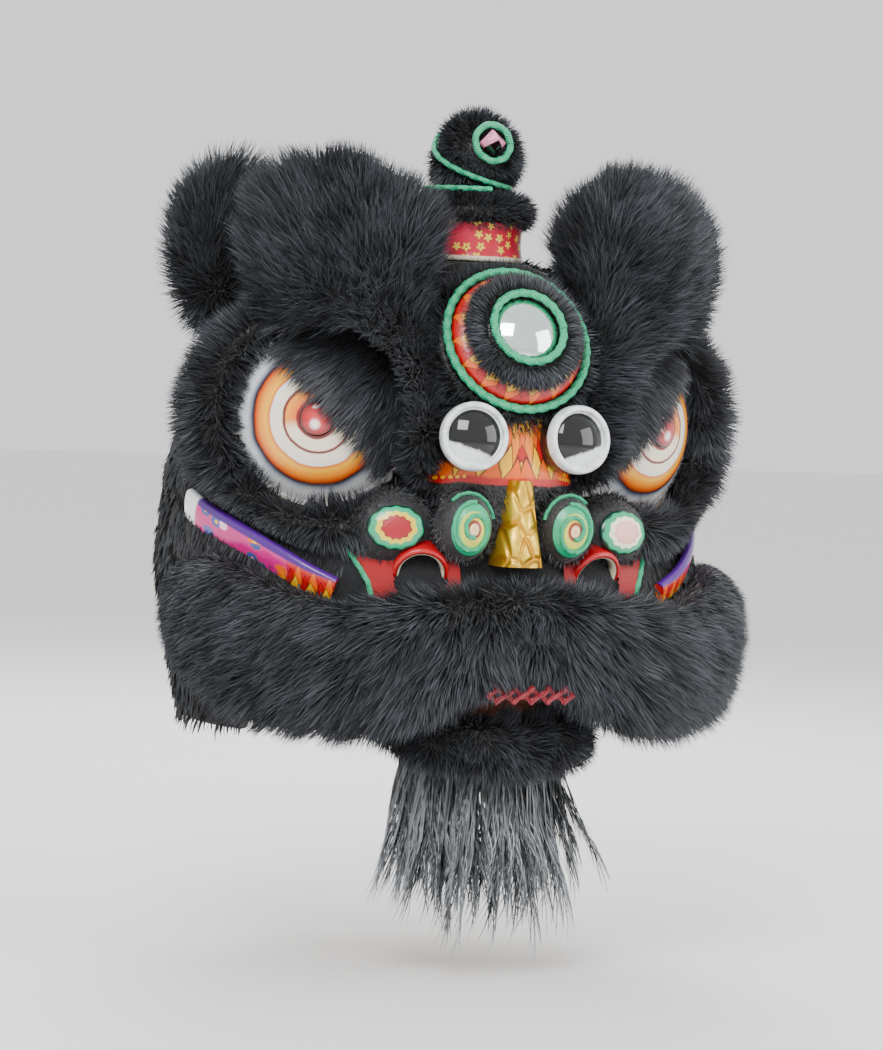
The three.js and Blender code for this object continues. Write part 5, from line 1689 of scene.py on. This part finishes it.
def nose_panel():
    """Red cloth between the lobe and the green cord, open at the nostril."""
    rise = np.linspace(84, 174, 40)[:, None]
    edge = np.interp(rise, [84, 116, 146, 174], [156, 161, 174, 186])
    x = 62 + (edge - 62) * np.linspace(0, 1, 50)
    z = rise + 0 * x
    points = np.stack([x, face_y(x, z) - 4, z], -1)
    form = grid(points, across=False)
    middle = points.reshape(-1, 3)[np.array(form.faces)].mean(1)
    open_part = far_from_axis(middle, NOSTRIL_CENTRE, NOSTRIL_LOOK) < 30
    return Form(form.points, [face for face, cut in zip(form.faces, open_part) if not cut])


def spiral_on_lobe():
    """Painted scroll on the front of a lobe, and the green cord that edges it."""
    turns = np.linspace(0, 1, 90)
    angle = np.radians(100 - 560 * turns)
    reach = 1 - 0.74 * turns

    def on_lobe(u, v, lift):
        u, v = u / LOBE_RADII[0], v / LOBE_RADII[2]
        flat = np.sqrt(np.maximum(0.02, 1 - u**2 - v**2))
        ray = np.stack([u, -flat, v], -1) * LOBE_RADII
        return LOBE_CENTRE + ray + unit(ray / LOBE_RADII**2) * lift

    wide, tall = 23, 29
    path = on_lobe(wide * reach * np.cos(angle), tall * reach * np.sin(angle) - 2, 2.0)
    over = np.radians(np.linspace(50, 165, 50))
    arc = on_lobe(29 * np.cos(over), 35.5 * np.sin(over), 1.5)
    cord = tube(path, radius=2.6, ply=3, lay=12) + tube(arc, radius=2.2, ply=3, lay=12)
    shares = np.linspace(0, 1, 12)
    rings = []
    for share in shares:
        ring = np.linspace(0, 2 * np.pi, 48, endpoint=False)
        size = 0.98 * (1 - share)
        rings.append(on_lobe(wide * size * np.cos(ring), tall * size * np.sin(ring) - 2, 0.9))
    spots = np.broadcast_to(np.stack([shares, 0 * shares, 0 * shares], -1)[:, None], (12, 48, 3))
    return grid(np.array(rings), spots=spots), cord


class LION_OT_bands(bpy.types.Operator):
    """Painted cheek bands"""

    bl_idname = "lion.bands"
    bl_label = "Cheek bands"

    def execute(self, context):
        line = spline(BAND_ROWS, 60)
        centre = np.stack([line[:, 0], face_y(line[:, 0], line[:, 1]), line[:, 1]], -1)
        along = unit(np.gradient(centre, axis=0))
        out = unit(centre - CORE - ((centre - CORE) * along).sum(1, keepdims=True) * along)
        across = np.cross(along, out)
        across *= np.sign(across[:, 2:3])
        angle = np.linspace(0, 2 * np.pi, 28, endpoint=False)
        steps = np.linalg.norm(np.diff(centre, axis=0), axis=1)
        run = 150 * np.concatenate([[0], np.cumsum(steps)]) / steps.sum()
        offset = (line[:, 2:3] + 4) * np.cos(angle)
        points = centre[:, None] + across[:, None] * offset[..., None]
        thick = 7.5 * np.sign(np.sin(angle)) * np.abs(np.sin(angle)) ** 0.6
        points = points + out[:, None] * thick[None, :, None]
        spots = np.stack(np.broadcast_arrays(run[:, None], offset, 0.0), -1)
        band = grid(points, caps=True, spots=spots)
        for side, sign in SIDES.items():
            nodes = ["cheek_band_" + side]
            piece("band_" + side, band.sided(sign), band_finish(), nodes, "pink_band", smooth=40)
        return {"FINISHED"}


class LION_OT_lip(bpy.types.Operator):
    """Upper lip of deep fur, and the braid under its middle"""

    bl_idname = "lion.lip"
    bl_label = "Upper lip"

    def execute(self, context):
        form = roll(LIP_HALF, np.array([0, MID_Y, 60.0]), steps=90, sides=56, inset=21)
        form = Form(np.where(form.points[:, :1] < 0, form.points * (0, 1, 1), form.points), form.faces)
        form, cover = fitted(form, clear_of_shell)
        gravity = combed(
            0.62, (0, 0, -0.38), lambda p: np.stack([p[:, 0] / 420, 0 * p[:, 0], 0 * p[:, 0]], -1)
        )
        top = np.clip((form.points[:, 2] - 60) / 60, 0, 1) * (np.abs(form.points[:, 0]) < 200)
        pile = (1 - 0.35 * top) * trimmed(form.points)
        braid_gap = np.linalg.norm(form.points * (0.3, 0.5, 1) - (0, -122, 2), axis=1)
        pile *= np.clip(braid_gap / 26, 0.5, 1)
        end = np.clip((form.points[:, 0] - 270) / 50, 0, 1)
        middle = np.clip(1 - form.points[:, 0] / 120, 0, 1)
        pile *= 1 - 0.4 * end - 0.2 * middle
        for side, sign in SIDES.items():
            furred("lip_" + side, form.sided(sign), on_side(sign, gravity), cover, pile,
                   seed=29 + sign, nodes=["lip_fur"], density=27)
        run = np.linspace(0, 2 * np.pi * 2.5, 240)
        loops = []
        for flip in (1, -1):
            x = np.linspace(-50, 50, 240) + 4 * np.sin(2 * run)
            y = -256 + 8 * (x / 90) ** 2 - 2.2 * flip * np.cos(run)
            z = 2 + 8 * flip * np.sin(run)
            loops.append(tube(np.stack([x, y, z], -1), radius=3, ply=3, lay=14))
        red = cord_finish("red_braid", "braid")
        piece("lip_braid", loops[0] + loops[1], red, ["mouth_braid"], "red_braid")
        return {"FINISHED"}


def jaw_point(x, y, lift):
    """A place on the tilted board, lift millimetres over it."""
    c, s = math.cos(JAW_TILT), math.sin(JAW_TILT)
    return np.array([x, y * c + lift * s, y * s + lift * c])


class LION_OT_jaw(bpy.types.Operator):
    """Lower jaw: red board, fur lip and beard"""

    bl_idname = "lion.jaw"
    bl_label = "Jaw and beard"

    def execute(self, context):
        bow = np.linspace(0, np.pi, 40)
        outline = [(JAW_HALF * math.cos(a), -80 - 104 * math.sin(a) ** 0.9) for a in bow]
        outline = [(JAW_HALF, -26), *outline, (-JAW_HALF, -26)]
        board = np.stack([[jaw_point(x, y, lift) for x, y in outline] for lift in (-14, -8)])
        form = grid(board, caps=True)
        for side in (-1, 1):
            wall = [(10.4, -12), (16, -12), (17, -11), (17, 11), (16, 12), (10.4, 12)]
            form = form + lathe(wall, (64 * side, 0, 0), (1, 0, 0), 36, True)
            strap = [(-12, -14), (-12, -56), (12, -56), (12, -14)]
            rows = [[jaw_point(64 * side + x, y, lift) for x, y in strap] for lift in (-16, -6)]
            form = form + grid(np.array(rows), caps=True)
        piece("jaw_plate", form, satin_finish("jaw_red", "a3202b"), ["jaw_board"], "jaw_red", "jaw", 35)
        rows = []
        for x, y, aside, ahead, wide, deep in JAW_LIP_HALF:
            rows.append((*jaw_point(x + aside, y - ahead, -22), wide, deep))
        skin = roll(mirrored_rows(rows), np.array([0, 0, -50.0]), steps=70, sides=32, inset=10)
        comb = combed(0.7, (0, -0.2, -0.2))
        furred("jaw_lip", skin, comb, seed=53, body="jaw", nodes=["jaw_fur"], length=0.026, density=23)
        lean = np.linspace(-1, 1, 60)
        rise = np.linspace(-10, 10, 6)[:, None]
        backing = np.stack(
            np.broadcast_arrays(JAW_HALF * lean, -164 + 52 * lean**2 + 0 * rise, -62 + rise), -1
        )
        comb = combed(0.02, lambda p: np.stack([p[:, 0] / 700, 0 * p[:, 0] - 0.03, -1 + 0 * p[:, 0]], -1))
        aside = np.abs(backing[..., 0].ravel()) / JAW_HALF
        furred("beard_locks", grid(backing, across=False), comb, None, 1 - 0.18 * aside**2, lock_object(),
               beard_finish(), seed=59, body="jaw", nodes=["beard"], slot="beard_hair",
               length=0.222, width=0.222, density=2.6, stray=0.3, clump=0.03)
        return {"FINISHED"}


class LION_OT_horn(bpy.types.Operator):
    """Painted horn base, furred brim and knob, cords and gem"""

    bl_idname = "lion.horn"
    bl_label = "Horn"

    def execute(self, context):
        green = cord_finish("green_cord", "green")
        base = [(0, 0.4), (54, 0.4), (58, 3), (56, 12), (55, 23), (56, 36), (58, 45), (54, 46), (38, 46)]
        base = lathe(soften([*base, (34, 78), (0, 78)], 2), HORN_BASE, UP, 80)
        piece("horn_drum", base, horn_finish(), ["horn_base"], "horn_pink", smooth=40)
        section = soften([(39, 48), (56, 48), (60, 56), (56, 66), (48, 70), (39, 69), (39, 48)], 1)
        comb = combed(0.7, (0, 0, 0.05), away_from(HORN_BASE, UP, 0.4))
        furred("brim", lathe(section[:-1], HORN_BASE, UP, 72, True), comb, seed=61, nodes=["horn_brim"],
               length=0.017, density=36, width=0.0012, clump=0.012)
        paths = []
        for name, node, first, last, high, low, off in (
            ("knob_cord", "horn_cord_upper", -215, -28, 148, 86, 4.8),
            ("brim_cord", "horn_cord_lower", -220, -92, 82, 82, 25),
        ):
            share = np.linspace(0, 1, 120)
            angle = np.radians(first + (last - first) * share)
            height = low + (high - low) * (1 - share) ** 2.4
            reach = np.array([knob_reach(h) for h in height]) + off
            paths.append(HORN_BASE + np.stack([reach * np.cos(angle), reach * np.sin(angle), height], -1))
            cord = tube(paths[-1], radius=3, sides=9, ply=3, lay=16)
            piece(name, cord, green, [node], "green_cord")
        heights = np.linspace(78.6, 162, 28)
        knob = [(0, 78.4), *[(max(knob_reach(h) - 4, 3), h) for h in heights], (0, 163)]
        knob = lathe(knob, HORN_BASE, UP, 56)
        near = np.linalg.norm(knob.points[:, None] - np.vstack(paths)[None, ::4], axis=2).min(1)
        gem = np.linalg.norm(knob.points - (HORN_BASE + (0, -46, 134)), axis=1)
        pile = np.clip(np.minimum((near - 4) / 14, (gem - 18) / 16), 0.3, 1)
        furred("knob", knob, combed(0.75, (0, 0, -0.15)), None, pile, seed=67,
               nodes=["horn_knob"], length=0.018, density=38, width=0.0012, clump=0.014)
        look = np.array([0, -math.cos(math.radians(14)), math.sin(math.radians(14))])
        heart = HORN_BASE + (0, 0, 122) + look * 46.4
        path = ring_path(21, heart, look, height=4, steps=110)
        ring = tube(path, radius=3.8, sides=9, closed=True, ply=3, lay=18)
        piece("gem_ring", ring, green, ["gem_cord"], "green_cord")
        stone = lathe([(0, 0), (15.5, 0), (15.5, 5), (10.9, 12), (0, 22)], heart, look, 4)
        piece("gem", stone, gem_finish(), ["horn_gem"], "pink_gem", smooth=5)
        return {"FINISHED"}


def knob_reach(height):
    """Radius of the horn's knob at a height over the horn's base."""
    share = (height - KNOB_FOOT) / KNOB_HEIGHT
    return KNOB_RADIUS * math.sqrt(max(0.05, 1 - (1.9 * share - 0.82) ** 2))


class LION_OT_stage(bpy.types.Operator):
    """Floor, lights and camera"""

    bl_idname = "lion.stage"
    bl_label = "Stage"

    def execute(self, context):
        stage = settings_of("stage")
        low, high = CAD_BOX
        middle = (low + high) / 2
        made = Finish("floor", Roughness=0.8)
        grain = made.noise(made.place(), 3.0)
        shade = list(stage.floor)
        made.lay(Base_Color=made.mix(grain, shade, dimmed(shade, 0.96)))
        bpy.ops.mesh.primitive_plane_add(size=FLOOR_SIZE, location=(0, 0, low.z - FLOOR_DROP))
        floor = context.object
        floor.name = "floor"
        floor.data.materials.append(made.material)
        world = bpy.data.worlds.new("studio")
        world.use_nodes = True
        sky = world.node_tree.nodes["Background"].inputs
        sky["Color"].default_value = (1.0, 1.0, 1.0, 1)
        sky["Strength"].default_value = 1.2
        context.scene.world = world
        for name, place, size, power in (
            ("key", (-1.6, -2.4, 2.4), 1.6, 120),
            ("fill", (2.2, -1.8, 0.9), 1.8, 45),
            ("rim", (0.8, 2.4, 2.2), 1.6, 90),
        ):
            lamp = bpy.data.lights.new(name, "AREA")
            lamp.size, lamp.energy = size, power
            made = bpy.data.objects.new(name, lamp)
            made.location = place
            made.rotation_euler = (middle - Vector(place)).to_track_quat("-Z", "Y").to_euler()
            context.scene.collection.objects.link(made)
        camera = bpy.data.objects.new("camera", bpy.data.cameras.new("camera"))
        camera.data.lens = stage.lens
        a, e = stage.azimuth, stage.elevation
        back = Vector((math.sin(a) * math.cos(e), -math.cos(a) * math.cos(e), math.sin(e)))
        camera.location = middle + back * stage.distance
        aim = (-back).to_track_quat("-Z", "Y").to_matrix() @ Matrix.Rotation(stage.roll, 3, "Z")
        camera.rotation_euler = aim.to_euler()
        context.scene.collection.objects.link(camera)
        context.scene.camera = camera
        return {"FINISHED"}


class LION_PT_panel(bpy.types.Panel):
    """Lists the steps and the sizes and colours that they use"""

    bl_idname = "LION_PT_panel"
    bl_label = "Lion Dance Head"
    bl_space_type = "VIEW_3D"
    bl_region_type = "UI"
    bl_category = "Lion Head"

    def draw(self, context):
        for operator in OPERATORS:
            self.layout.operator(operator.bl_idname)
        for group in GROUPS:
            box = self.layout.box()
            for name in GROUPS[group].__annotations__:
                box.prop(settings_of(group), name)


GROUPS = {"fur": LionFur, "paint": LionPaint, "stage": LionStage}
OPERATORS = (
    LION_OT_stage,
    LION_OT_shell,
    LION_OT_eyes,
    LION_OT_lids,
    LION_OT_brows,
    LION_OT_ears,
    LION_OT_forehead,
    LION_OT_nose,
    LION_OT_bands,
    LION_OT_lip,
    LION_OT_jaw,
    LION_OT_horn,
)


def register():
    for group in (*GROUPS.values(), *OPERATORS, LION_PT_panel):
        bpy.utils.register_class(group)
    for name, group in GROUPS.items():
        setattr(bpy.types.Scene, "lion_" + name, bpy.props.PointerProperty(type=group))


def unregister():
    for name in GROUPS:
        delattr(bpy.types.Scene, "lion_" + name)
    for group in (*GROUPS.values(), *OPERATORS, LION_PT_panel):
        bpy.utils.unregister_class(group)


def main():
    register()
    for operator in OPERATORS:
        family, step = operator.bl_idname.split(".")
        getattr(getattr(bpy.ops, family), step)()
    for name in ("strand", "plush_strand", "beard_lock"):
        bpy.data.objects.remove(bpy.data.objects[name])


if __name__ == "__main__":
    main()
